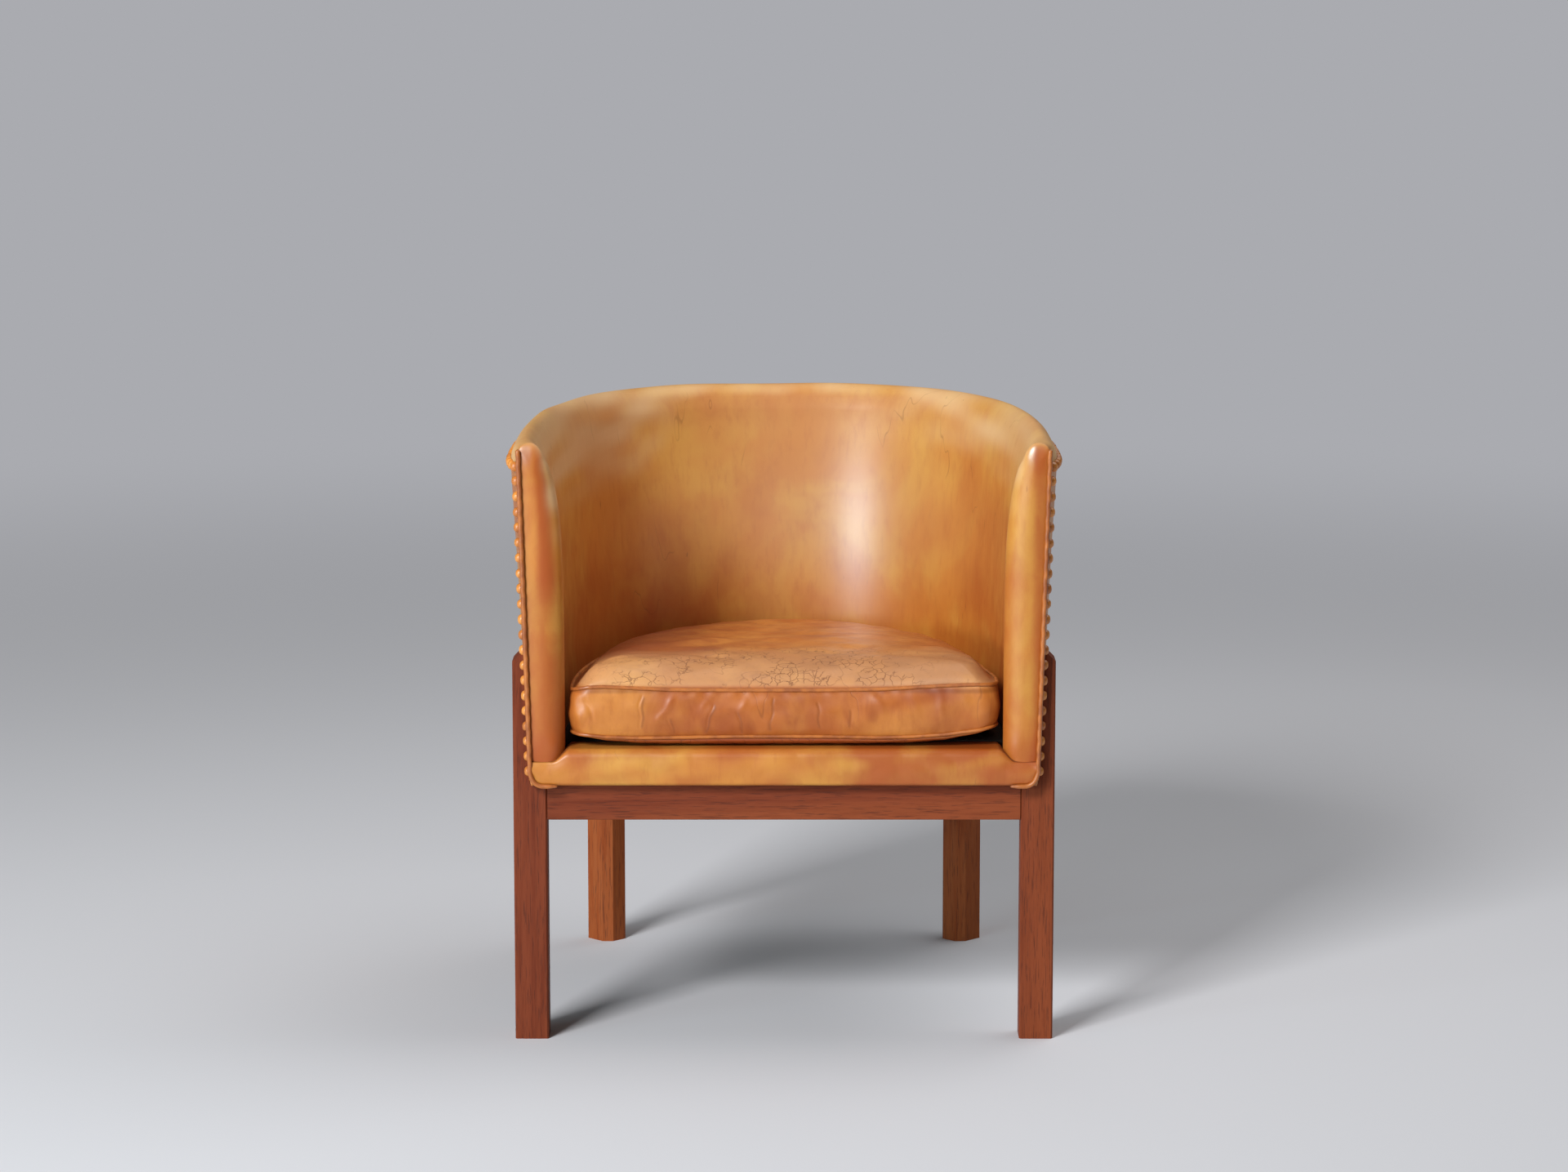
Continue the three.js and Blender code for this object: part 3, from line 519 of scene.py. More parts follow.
def wall_profile(share, body_steps, roll_steps):
    """Section through the wall at each station: up the inside, over a crest and down the outside;
    each flank of the crest is a quarter of a superellipse, the outer one tighter on the arms."""
    share = share[:, None]
    on_arm = smooth(*arm_shares, np.abs(share))
    at_corner = smooth(*corner_rise_shares, np.abs(share)) * smooth(*corner_fall_shares, np.abs(share))
    inner_drop = inner_roll_drop + corner_roll_extra * at_corner
    outer_drop = mix(outer_roll_drop, arm_roll_drop, on_arm)
    outer_power = mix(outer_roll_power, arm_roll_power, on_arm)
    up = np.linspace(0, 1, body_steps)[None, :]
    inside = face(inner_plan, share, mix(skin_foot, rim_level - inner_drop, up))
    outside = face(outer_plan, share, mix(skin_foot, rim_level - outer_drop, up[:, ::-1]))
    angle = np.linspace(0, np.pi / 2, roll_steps // 2 + 2)[None, :]
    climb, fall = angle[:, 1:], angle[:, 1:-1]
    inner_z = rim_level - inner_drop * (1 - np.sin(climb) ** (2 / inner_roll_power))
    inner_across = crest_share * (1 - np.cos(climb) ** (2 / inner_roll_power))
    outer_z = rim_level - outer_drop * (1 - np.cos(fall) ** (2 / outer_power))
    outer_across = crest_share + (1 - crest_share) * np.sin(fall) ** (2 / outer_power)
    z = np.concatenate([inner_z, outer_z], axis=1)
    across = np.concatenate([inner_across + 0 * share, outer_across], axis=1)[..., None]
    over = mix(face(inner_plan, share, z), face(outer_plan, share, z), across)
    return np.concatenate([inside, over, outside], axis=1)


wall_steps = 44
roll_steps = 24
roll_count = roll_steps + 1
cap_rings = 19
corner_stations = 120
arm_stations = 22
cap_room = 1.1 * arm_inner_depth
arm_stop = 1 - cap_room / (widest - tub_front) * (1 - turn_share)
arm_part = np.linspace(turn_share, arm_stop, arm_stations)[1:]
back_part = np.linspace(-turn_share, turn_share, corner_stations)
stations = np.concatenate([-arm_part[::-1], back_part, arm_part])
body = wall_profile(stations, wall_steps, roll_steps)

# The outside of the skin runs down under the outer leather, one hide's thickness further in.
ring_size = body.shape[1]
position = np.arange(ring_size)
is_outside = position >= wall_steps + roll_count
body_level = body[..., 2]
tucked = smooth(lap_level + lap_over, lap_level - lap_under, body_level) * is_outside
on_face = face(outer_plan, stations[:, None], body_level)
outward_run = face(outer_plan, stations[:, None], body_level, 1.0) - on_face
body = body - outward_run * (tucked * (hide + lap_gap))[..., None]
lumps = waves(stations[:, None] * 9, position[None, :] * 0.05, 4, 6)
body[..., 2] += skin_lump * lumps * smooth(roll_centre, rim_level, body[..., 2])


def arm_cap(side):
    """Front of an arm: the section shrinks to its middle line along quarter superellipses, deep on
    the inner side and shallow on the outer one, with a notch and a bulge over the border's end."""
    edge = wall_profile(np.array([side * 1.0]), wall_steps, roll_steps)[0]
    x, z = edge[:, 0], edge[:, 2]
    along = position / (ring_size - 1)
    deep = mix(arm_inner_depth, arm_top_depth, smooth(*arm_top_shares, along))
    deep = mix(deep, arm_outer_depth, smooth(*arm_outer_shares, along))
    middle_z = np.minimum(0.5 * (z + z[::-1]), roll_centre - arm_middle_drop)
    inner_x = face(inner_plan, side, middle_z)[:, 0]
    outer_x = face(outer_plan, side, middle_z)[:, 0]
    middle = np.stack([mix(inner_x, outer_x, arm_middle), middle_z], axis=1)
    rings = []
    for turn in np.linspace(0, np.pi / 2, cap_rings):
        inward = 1 - np.cos(turn) ** (2 / arm_power)
        flat = mix(edge[:, [0, 2]], middle, inward)
        depth = tub_front + deep * (1 - np.sin(turn) ** (2 / arm_power))
        depth = depth + arm_notch * smooth(*arm_notch_levels, flat[:, 1])
        bulge = bell(flat[:, 1], arm_bulge_level, arm_bulge_height)
        bulge = bulge * smooth(*arm_bulge_places, np.abs(flat[:, 0]))
        depth = depth - arm_bulge * bulge * np.sin(turn)
        rings.append(np.stack([flat[:, 0], depth, flat[:, 1]], axis=1))
    return np.array(rings)


left_cap = arm_cap(-1)[::-1]
right_cap = arm_cap(1)
inner_points = np.concatenate([left_cap, body, right_cap])
rows, columns = inner_points.shape[:2]
inner_faces = grid_faces(rows, columns)
face_row = inner_faces[:, 0] // columns
face_column = inner_faces[:, 0] % columns
face_level = inner_points.reshape(-1, 3)[inner_faces[:, 0], 2]
on_body = (face_row >= len(left_cap)) & (face_row < rows - len(right_cap) - 1)
low_outside = (face_column >= wall_steps + roll_count) & (face_level < lap_end)
inner_faces = inner_faces[~(on_body & low_outside)]


# Zones of wear, painted shade and painted light on the inner leather: where each begins and where
# it is full, in metres across, up or, for the caps, behind the front rail's face. A spot has a
# middle and a half width.
cap_depths = (tub_front + 0.010, tub_front)
right_half_places = (-0.1, 0.1)
left_corner_places = (-0.12, -0.2)
side_rim_levels = (0.63, 0.73)
left_rim_drops = (0.03, 0.04)
back_rim_levels = (0.715, 0.738)
rim_side_places = (0.08, 0.24)
back_patch_middle = 0.03
back_patch_places = (0.30, 0.10)
back_patch_levels = (0.42, 0.6)
low_wall_levels = (0.66, 0.40)
left_wall_places = (0.03, -0.2)
wave_end_levels = (0.6, 0.7)
arm_middles = (0.297, 0.301)
shaded_half_places = (-0.006, 0.008)
shaded_half_levels = (0.5, 0.64)
arm_top_levels = (0.66, 0.72)
arm_foot_levels = (0.395, 0.36)
arm_spot_across = (0.0056, 0.005)
arm_spot_up = (0.7244, 0.011)
band_begin_levels = (0.67, 0.71)
band_end_levels = (0.735, 0.725)
band_places = (0.26, 0.15)
right_wall_places = (0.2, 0.27)
right_wall_levels = (0.7, 0.6)
rubbed_up = (0.55, 0.09)
rubbed_right_places = (0.27, 0.17)
rubbed_left_places = (-0.26, -0.14)
rubbed_most_places = (0.03, 0.13)
glint_places = (0.013, -0.003)
glint_width = 0.006
glint_up = (0.730, 0.014)
shine_levels = (0.72, 0.68)


def rim_and_back_painted_light(x, z, on_front):
    """Painted light: a pale pinkish sheen in cloudy waves by a smooth step in height, lower at the
    sides and stronger at the left corner, and a faint pale patch on the middle of the back."""
    clouds = 0.7 + 0.25 * waves(stations[0] * 9 + 30 * x, z * 40, 8, 5)
    left_corner = smooth(*left_corner_places, x)
    begin, full = (level - drop * left_corner for level, drop in zip(side_rim_levels, left_rim_drops))
    side_rim = smooth(begin, full, z) * (1 + 0.15 * left_corner)
    rim = clouds * mix(smooth(*back_rim_levels, z) * 0.8, side_rim, smooth(*rim_side_places, np.abs(x)))
    back_patch = smooth(*back_patch_places, np.abs(x - back_patch_middle)) * smooth(*back_patch_levels, z)
    return np.clip(np.maximum(rim, back_patch * 0.22) * (1 - on_front), 0, 1)


def handled_and_shaded_parts(x, z, arm_x, on_front, on_right):
    """Darkening: more down the wall and most at the left, partly rust wear and partly painted shade
    on the left wall; darker bands under the rim and on the right wall; on the arm fronts painted
    shade on the right-hand half of each, with a rust spot at the right arm's top."""
    low_wall = smooth(*low_wall_levels, z)
    left_wall = smooth(*left_wall_places, x)
    # Down the wall and most at the left: partly rust wear, partly painted shade on the left wall.
    patina_and_shade = 0.10 + 0.62 * low_wall * (0.3 + 0.7 * left_wall) * (1 - 0.6 * on_front)
    patina_and_shade = patina_and_shade + 0.08 * waves(x * 26, z * 18, 11, 5) * mix(1, on_front, smooth(*wave_end_levels, z))
    # Painted shade: the right-hand half of each arm front, turned away from the light, is darker.
    shaded_half = smooth(*shaded_half_places, arm_x * np.sign(x))
    shaded_half = shaded_half * mix(0.25 + 0.75 * smooth(*shaded_half_levels, z), 0.6, on_right)
    arm_top = mix(0.34, 0.15, on_right) * smooth(*arm_top_levels, z)
    patina_and_shade = patina_and_shade + on_front * (0.26 - 0.06 * on_right + 0.7 * shaded_half + arm_top)
    arm_spot = on_front * on_right * bell(arm_x, *arm_spot_across) * bell(z, *arm_spot_up)
    patina_and_shade = patina_and_shade + 0.6 * arm_spot + 0.3 * on_front * smooth(*arm_foot_levels, z)
    under_rim = smooth(*band_begin_levels, z) * smooth(*band_end_levels, z) * smooth(*band_places, np.abs(x))
    right_wall = smooth(*right_wall_places, x) * smooth(*right_wall_levels, z) * (1 - on_front)
    return np.clip(patina_and_shade + 0.34 * under_rim + 0.38 * right_wall, 0, 1)


def polished_parts(x, z, arm_x, on_front, on_right):
    """Shine: a band where backs rub, stronger right of the middle, and a glint on each arm top."""
    band = bell(z, *rubbed_up) * smooth(*rubbed_right_places, x) * smooth(*rubbed_left_places, x)
    band = band * (0.5 + 0.5 * smooth(*rubbed_most_places, x))
    glint = on_front * bell(arm_x, mix(*glint_places, on_right), glint_width) * bell(z, *glint_up)
    return np.clip(band + 0.1 * smooth(*shine_levels, z) + glint, 0, 1)


inner_x, inner_y, inner_z = np.moveaxis(inner_points, -1, 0)
on_front = smooth(*cap_depths, inner_y)
on_right = smooth(*right_half_places, inner_x)
arm_x = np.abs(inner_x) - mix(*arm_middles, on_right)
inner_marks = {
    "patina_and_shade": handled_and_shaded_parts(inner_x, inner_z, arm_x, on_front, on_right),
    # Painted light: the pinkish sheen on the rim and the faint patch on the back.
    "painted_light": rim_and_back_painted_light(inner_x, inner_z, on_front),
    "shine": polished_parts(inner_x, inner_z, arm_x, on_front, on_right),
}
inner_leather = make_piece(
    "inner_leather_skin",
    in_frame(inner_points),
    inner_faces,
    hide_skin,
    inner_marks,
    weld=weld_gap,
)
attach(inner_leather, "chair")
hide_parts("inner_leather", "wall_padding")

# Outer leather: a second hide wrapped round the outside, its top edge under the row of nails and
# its lower edge turned in under the tub board.
outer_top = 0.7085
outer_fold = 0.004
outer_levels = 60
outer_edge_gap = 0.0037
outer_ripples = (0.00012, 0.0004)
ripple_fade = 0.03
outer_reach = 1 - outer_edge_gap / (widest - tub_front) * (1 - turn_share)
outer_stations = np.linspace(-1, 1, 260) * outer_reach


def outer_sheet():
    """Outer face from a small inward turn at the foot up to the nails, with faint upright ripples."""
    wall_z = np.linspace(tub_floor + outer_fold, outer_top, outer_levels)
    z = np.concatenate([[tub_floor, tub_floor], wall_z])
    move = np.zeros_like(z)
    move[0] = -outer_fold
    move[1] = -outer_fold * 0.25
    fine, broad = outer_ripples
    ripple = fine * waves(outer_stations[:, None] * 40, z[None, :] * 12, 21, 7)
    ripple = ripple + broad * waves(outer_stations[:, None] * 10, z[None, :] * 9, 22, 5)
    ripple = ripple * smooth(tub_floor, tub_floor + ripple_fade, z)[None, :]
    return face(outer_plan, outer_stations[:, None], z[None, :], move[None, :] + np.minimum(ripple, broad))


outer_points = outer_sheet()
outer_clouds = waves(outer_points[..., 0] * 12, outer_points[..., 2] * 9, 31, 5)
outer_leather = make_piece(
    "outer_leather_skin",
    in_frame(outer_points),
    grid_faces(*outer_points.shape[:2])[:, ::-1],
    hide_skin,
    # A steady rust tone: partly the hide's own colour, partly painted warm bounce light for shade.
    {"patina_and_shade": np.clip(0.36 + 0.15 * outer_clouds, 0, 1), "shine": 0.3},
)
thickness = outer_leather.modifiers.new("hide", "SOLIDIFY")
thickness.thickness = hide
thickness.offset = -1
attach(outer_leather, "chair")
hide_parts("outer_leather")

# Front border: a padded roll of the same hide under the seat, with low ends under the arms where
# it meets them in a mitred seam, and round lower corners.
border_floor = tub_floor
border_top = 0.365
border_end_top = 0.351
border_back = 0.045
border_round = 0.011
border_foot_round = 0.006
border_corner = 0.017
border_swell = 0.0016
border_overlap = 0.0006
border_end_back = -0.010
border_end_round = 0.0045
border_top_fall = 0.0015
border_lump = 0.0005
border_lump_fade = 0.02
seam_weld = 2e-6
corner_rise = 0.98
mitre_inner = 0.261
mitre_outer = 0.2815
mitre_back_places = (mitre_outer - 0.006, mitre_inner - 0.003)


def border_sheet():
    """Sections side by side: foot, front with a swell, top curl and back, their height following
    the mitre; at both ends the foot rises by a quarter circle."""
    half = outer_plan(border_floor)[1]
    x = np.linspace(-1, 1, 321)[:, None] * (half + border_overlap)
    in_corner = np.clip(1 - (half - np.abs(x)) / border_corner, 0, 1)
    foot = border_floor + border_corner * (1 - np.sqrt(1 - in_corner**2)) * corner_rise
    rise = smooth(mitre_outer, mitre_inner, np.abs(x))
    top = mix(border_end_top, border_top, rise)
    back = mix(border_end_back, border_back, smooth(*mitre_back_places, np.abs(x)))
    round_top = mix(border_end_round, border_round, rise)
    round_foot = np.minimum(border_foot_round, (top - foot) * 0.3)
    turn = np.linspace(0, np.pi / 2, 9)[None, :]
    foot_y = tub_front + round_foot * (1 - np.sin(turn))
    foot_z = foot + round_foot * (1 - np.cos(turn))
    up = np.linspace(0, 1, 14)[None, 1:-1]
    front_z = mix(foot + round_foot, top - round_top, up)
    front_y = tub_front - border_swell * np.sin(np.pi * up) + 0 * front_z
    top_y = tub_front + round_top * (1 - np.cos(turn))
    top_z = top - round_top * (1 - np.sin(turn))
    over = np.linspace(0, 1, 10)[None, 1:]
    over_y = mix(top_y[:, -1:], back, over)
    over_z = top - border_top_fall * over**2
    y = np.concatenate([foot_y, front_y, top_y, over_y, back], axis=1)
    z = np.concatenate([foot_z, front_z, top_z, over_z, foot], axis=1)
    lump = border_lump * waves(x * 26, z * 40, 41, 6) * smooth(border_lump_fade, 0.0, np.abs(y - tub_front))
    sheet = np.stack([x + 0 * y, y - np.abs(lump), z], axis=-1)
    ends = sheet[[0, -1]].mean(axis=1, keepdims=True) + 0 * sheet[[0, -1]]
    return np.concatenate([ends[:1], sheet, ends[1:]])


red_patch_across = (0.115, 0.025)
border_right_places = (0.06, 0.11)
border_top_levels = (0.348, 0.362)
mitre_soil_and_shade_depths = (0.0022, 0.0004)
mitre_soil_and_shade_places = (mitre_inner - 0.002, mitre_inner + 0.006)


def border_marks(x, z):
    """Darker in cloudy waves, more so along the top and to the right, with a red patch; dirt and
    painted shade in the mitred seams."""
    patina_and_shade = 0.3 + 0.16 * waves(x * 24, z * 60, 43, 5)
    patina_and_shade = patina_and_shade + 0.3 * bell(x, *red_patch_across) + 0.42 * smooth(*border_right_places, x)
    patina_and_shade = patina_and_shade + 0.2 * smooth(*border_top_levels, z)
    # Dirt and painted shade in the mitred seams.
    rise = smooth(mitre_outer, mitre_inner, np.abs(x))
    gap = mix(border_end_top, border_top, rise) - z
    seam = smooth(*mitre_soil_and_shade_depths, gap) * smooth(*mitre_soil_and_shade_places, np.abs(x))
    return {"patina_and_shade": np.clip(patina_and_shade, 0, 1), "soil_and_shade": seam, "shine": 0.15}


border_points = border_sheet()
front_border = make_piece(
    "front_border_roll",
    in_frame(border_points),
    grid_faces(*border_points.shape[:2], wrap_columns=True),
    hide_skin,
    border_marks(border_points[..., 0], border_points[..., 2]),
    weld=seam_weld,
)
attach(front_border, "chair")
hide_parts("front_border")

# Edge welts: a narrow piped strip sewn down the outer edge of each arm front and round the lower
# corner of the tub.
welt_radius = 0.0029
welt_colour = (186, 108, 46)
welt_shade = (150, 80, 34)
welt_top = 0.7335
welt_under = 0.034
welt_corner = 0.0165
welt_proud = 0.0012
welt_wander = 0.0003
trim_gloss = 0.3
welt_rows = 200
welt_sides = 12
grain_depth = 0.0002


def trim_leather(name, plain, shade, gloss):
    """Narrow strips of hide: cloudy colour, a darker soiled tone in patches, fine pores."""
    finish = Finish(name)
    place = finish.place()
    clouds = finish.noise(place, 46, 3, 0.6)
    grain = finish.noise(place, 1300, 2, 0.6)
    colour = finish.tint(finish.ramp(clouds, 0.35, 0.68), rgb(*plain), rgb(*shade))
    finish.coat(
        Base_Color=colour,
        Roughness=finish.ramp(clouds, 0.2, 0.8) * 0.15 + gloss,
        Coat_Weight=0.2,
        Coat_Roughness=0.2,
        Normal=finish.relief(grain * 0.5 + clouds * 0.5, grain_depth),
    )
    return finish.material


trim_hide = trim_leather("trim_hide", welt_colour, welt_shade, trim_gloss)


def tube(path, radius, sides, closed=False, up=(0.0, 1.0, 0.0)):
    """Circles carried along a path, each square to it; the radius may change along the way."""
    if closed:
        run = np.roll(path, -1, axis=0) - np.roll(path, 1, axis=0)
    else:
        run = np.gradient(path, axis=0)
    run /= np.linalg.norm(run, axis=1, keepdims=True)
    side = np.cross(run, np.array(up))
    side /= np.linalg.norm(side, axis=1, keepdims=True)
    top = np.cross(side, run)
    angle = np.linspace(0, 2 * np.pi, sides, endpoint=False)
    size = np.broadcast_to(radius, len(path))[:, None, None]
    across = np.cos(angle)[None, :, None] * side[:, None, :]
    upward = np.sin(angle)[None, :, None] * top[:, None, :]
    return path[:, None, :] + size * (across + upward)


def resample(path, count):
    """Points at equal distances along a path."""
    size = np.linalg.norm(np.diff(path, axis=0), axis=1)
    way = np.concatenate([[0], np.cumsum(size)])
    even = np.linspace(0, way[-1], count)
    return np.stack([np.interp(even, way, path[:, i]) for i in range(3)], axis=1)


def welt_path(side):
    """Down the outer edge of an arm, round the tub's lower corner by a quarter circle and a little
    way in under the border, wandering by a sine of its height."""
    half = outer_plan(border_floor)[1]
    up_z = np.linspace(welt_top, border_floor + welt_corner, 60)
    up_x = plan_point(np.ones(60), *outer_plan(up_z))[0]
    turn = np.linspace(0, np.pi / 2, 20)[1:]
    turn_x = half - welt_corner * (1 - np.cos(turn))
    turn_z = border_floor + welt_corner * (1 - np.sin(turn))
    under_x = np.linspace(half - welt_corner, half - welt_under, 12)[1:]
    x = np.concatenate([up_x, turn_x, under_x])
    z = np.concatenate([up_z, turn_z, np.full(11, border_floor)])
    path = resample(np.stack([x * side, np.full(len(x), tub_front - welt_proud), z], axis=1), welt_rows)
    path[:, 0] += side * welt_wander * np.sin(path[:, 2] * 338)
    return path


welt_radii = welt_radius * (1 - 0.5 * smooth(0.97, 1.0, np.linspace(0, 1, welt_rows)))
for side, word in ((-1, "left"), (1, "right")):
    path = welt_path(side)
    ring = tube(path, welt_radii, welt_sides)
    ring[[0, -1]] = path[[0, -1], None]
    welt_faces = grid_faces(welt_rows, welt_sides, wrap_columns=True)
    welt = make_piece(f"edge_welt_piping_{word}", in_frame(ring), welt_faces, trim_hide, weld=seam_weld)
    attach(welt, "chair")
    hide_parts(f"edge_welt_{word}")

# Covered nails: small domed nails under leather, one row below the rim and one row down the outer
# edge of each arm, driven through a narrow hem.
nail_radius = 0.0064
nail_rise = 0.006
nail_spacing = 0.0186
nail_sides = 14
nail_rings = 6
nail_size_range = (0.93, 1.05)
nail_tilt = 0.05
hem_width = 0.0105
hem_rise = 0.0011
rim_nail_level = 0.710
front_nail_top = 0.693
front_nail_foot = 0.337
front_nail_depth = -0.0076
rim_row_margin = 0.004
rim_hem_gap = 0.001
front_hem_foot = 0.006
rim_hem_rows = 400
front_hem_rows = 120
nail_colour = (222, 144, 64)
nail_shade = (184, 106, 44)
nail_hide = trim_leather("nail_hide", nail_colour, nail_shade, trim_gloss)


def domes(centres, normals, ups, seed):
    """A low dome at each centre: circles that shrink as a cosine while they rise as a sine."""
    draw = np.random.default_rng(seed)
    size = nail_radius * draw.uniform(*nail_size_range, len(centres))
    tilt = draw.normal(0, nail_tilt, (len(centres), 2))
    sides = np.cross(ups, normals)
    normals = normals + sides * tilt[:, :1] + ups * tilt[:, 1:]
    rise = np.linspace(0, np.pi / 2, nail_rings)
    spin = np.linspace(0, 2 * np.pi, nail_sides, endpoint=False)
    out = np.sin(rise) ** 0.85
    wide = np.maximum(np.cos(rise) ** 0.8, 0.02)
    flat = np.cos(spin)[:, None] * sides[:, None, None, :] + np.sin(spin)[:, None] * ups[:, None, None, :]
    points = centres[:, None, None, :] + flat * (wide[None, :, None, None] * size[:, None, None, None])
    lift = out * nail_rise + hem_rise * 0.4
    return points + normals[:, None, None, :] * lift[None, :, None, None]


def dome_faces(count):
    """Quads of all the heads of a row, turned to face outwards."""
    one = grid_faces(nail_rings, nail_sides, wrap_columns=True)
    starts = np.arange(count) * nail_rings * nail_sides
    return (one[None] + starts[:, None, None]).reshape(-1, 4)[:, ::-1]


def hem(path_in, path_out, high, low):
    """A shallow arched strip between its two long edges, its feet on the leather."""
    lift = np.sin(np.linspace(0, np.pi, 7))[None, :, None]
    share = np.linspace(0, 1, 7)[None, :, None]
    return mix(high[:, None], low[:, None], share) + (path_out - path_in)[:, None] * lift


def nail_row(name, node, centres, normals, ups, strip, seed):
    """The heads of one row and the hem under them, as one piece."""
    heads = domes(centres, normals, ups, seed)
    head_faces = dome_faces(len(centres))
    strip_faces = grid_faces(*strip.shape[:2]) + heads[..., 0].size
    points = np.concatenate([heads.reshape(-1, 3), strip.reshape(-1, 3)])
    piece = make_piece(name, in_frame(points), np.concatenate([head_faces, strip_faces]), nail_hide)
    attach(piece, "chair")
    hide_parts(node)
    return piece


def unit_runs(path):
    """Directions along a path, each of length 1."""
    runs = np.gradient(path, axis=0)
    return runs / np.linalg.norm(runs, axis=1, keepdims=True)


upward = np.array([0.0, 0.0, 1.0])
rim_shares = np.linspace(-0.9995, 0.9995, 4001)
rim_path = face(outer_plan, rim_shares, np.full(rim_shares.shape, rim_nail_level))
rim_path = rim_path[rim_path[:, 1] > front_nail_depth + rim_hem_gap]
rim_way = np.concatenate([[0], np.cumsum(np.linalg.norm(np.diff(rim_path, axis=0), axis=1))])
rim_count = int(round(rim_way[-1] / nail_spacing))
rim_spots = np.linspace(rim_row_margin, rim_way[-1] - rim_row_margin, rim_count)
rim_centres = np.stack([np.interp(rim_spots, rim_way, rim_path[:, i]) for i in range(3)], axis=1)
rim_ups = np.broadcast_to(upward, rim_centres.shape)
rim_normals = np.cross(rim_ups, unit_runs(rim_centres))
hem_path = resample(rim_path, rim_hem_rows)
hem_normal = np.cross(upward, unit_runs(hem_path))
hem_half = upward * hem_width / 2
rim_strip = hem(hem_path, hem_path + hem_normal * hem_rise, hem_path + hem_half, hem_path - hem_half)
nail_row("rim_nail_row", "rim_nails", rim_centres, rim_normals, rim_ups, rim_strip, seed=51)

for side, word in ((-1, "left"), (1, "right")):
    depth_share = (widest - front_nail_depth) / (widest - tub_front)
    share = side * mix(turn_share, 1, depth_share)
    count = int(round((front_nail_top - front_nail_foot) / nail_spacing)) + 1
    z = np.linspace(front_nail_top, front_nail_foot, count)
    centres = face(outer_plan, np.full(count, share), z)
    normals = face(outer_plan, np.full(count, share), z, 1.0) - centres
    ups = np.broadcast_to(upward, normals.shape)
    z = np.linspace(rim_nail_level, tub_floor + front_hem_foot, front_hem_rows)
    middle = face(outer_plan, np.full(front_hem_rows, share), z)
    lift = (face(outer_plan, np.full(front_hem_rows, share), z, 1.0) - middle) * hem_rise
    half_run = np.array([0.0, hem_width / 2, 0.0])
    strip = hem(middle, middle + lift, middle - half_run * side, middle + half_run * side)
    nail_row(f"front_nail_row_{word}", f"front_nails_{word}", centres, normals, ups, strip, seed=60 + side)

# Seat deck: a shallow pad of hair under dark linen that carries the loose cushion; the linen's
# colour is darkened further as painted shade in the gap under the cushion. Below it, a black
# cambric dust cover is stapled between the rails.
deck_edge = 0.0006
deck_plan_level = 0.352
deck_reach = 0.985
deck_gap = 0.0006
deck_sink = 0.0004
deck_back_level = 0.3555
deck_depth = 0.46
deck_middle = np.array([0.0, 0.29, 0.0])
# The linen colours are near black: painted shade for the dark gap under the cushion.
linen_dark_for_shade = (32, 24, 19)
linen_light_for_shade = (54, 42, 33)
cambric_black = (24, 22, 21)
cambric_grey = (44, 42, 40)
thread_depth = 0.0002
deck_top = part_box("seat_pad")[1].z

# Rings of the deck from the middle of its underside to the middle of its top: the share of the
# way out and the depth under the top.
deck_rings = (
    (0.0, 0.02), (1.0, 0.02), (1.0, 0.004), (0.99, 0.001), (0.97, 0.0), (0.8, 0.0), (0.5, 0.0), (0.0, 0.0),
)


def woven(name, dark, light, threads):
    """Plain weave: two sets of threads, drawn as crossed waves on the object's own plan."""
    finish = Finish(name)
    run = {"Vector": finish.place(), "Scale": threads}
    warp, weft = (finish.node("ShaderNodeTexWave", {"bands_direction": way}, run) for way in "XY")
    cloth = warp * weft
    wear = finish.noise(finish.place(), 30, 3)
    colour = finish.tint(finish.ramp(cloth * 0.6 + wear * 0.5, 0.2, 0.8), rgb(*dark), rgb(*light))
    finish.coat(Base_Color=colour, Roughness=0.9, Normal=finish.relief(cloth, thread_depth))
    return finish.material


deck_linen_shaded = woven("deck_linen_shaded", linen_dark_for_shade, linen_light_for_shade, 160.0)
dust_cambric = woven("dust_cambric", cambric_black, cambric_grey, 260.0)


def deck():
    """The inner plan, cut off straight behind the border, shrunk ring by ring; the top slopes back."""
    base = face(inner_plan, np.linspace(-1, 1, 120) * deck_reach, np.full(120, deck_plan_level), -deck_edge)
    front_y = border_back + deck_gap
    base[:, 1] = np.maximum(base[:, 1], front_y)
    slope = 0.9 * (deck_top - deck_back_level) / deck_depth
    rings = []
    for share, drop in deck_rings:
        ring = deck_middle + (base - deck_middle) * share
        ring[:, 2] = deck_top - deck_sink - slope * (ring[:, 1] - front_y) - drop
        rings.append(ring)
    return np.array(rings)


deck_points = deck()
seat_deck = make_piece(
    "seat_deck",
    in_frame(deck_points),
    grid_faces(*deck_points.shape[:2], wrap_columns=True),
    deck_linen_shaded,
    weld=seam_weld,
)
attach(seat_deck, "chair")
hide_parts("seat_pad")

cover_sag = 0.004
cover_pucker = 0.0006
cambric_thickness = 0.0005
cover_steps = 60
cover_low, cover_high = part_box("dust_cover")
cover_xyz = np.array([v.co[:] for v in nodes["dust_cover"].data.vertices])
cover_front = np.abs(cover_xyz[cover_xyz[:, 1] < cover_low.y + 0.001, 0]).max()
cover_rear = np.abs(cover_xyz[cover_xyz[:, 1] > cover_high.y - 0.001, 0]).max()


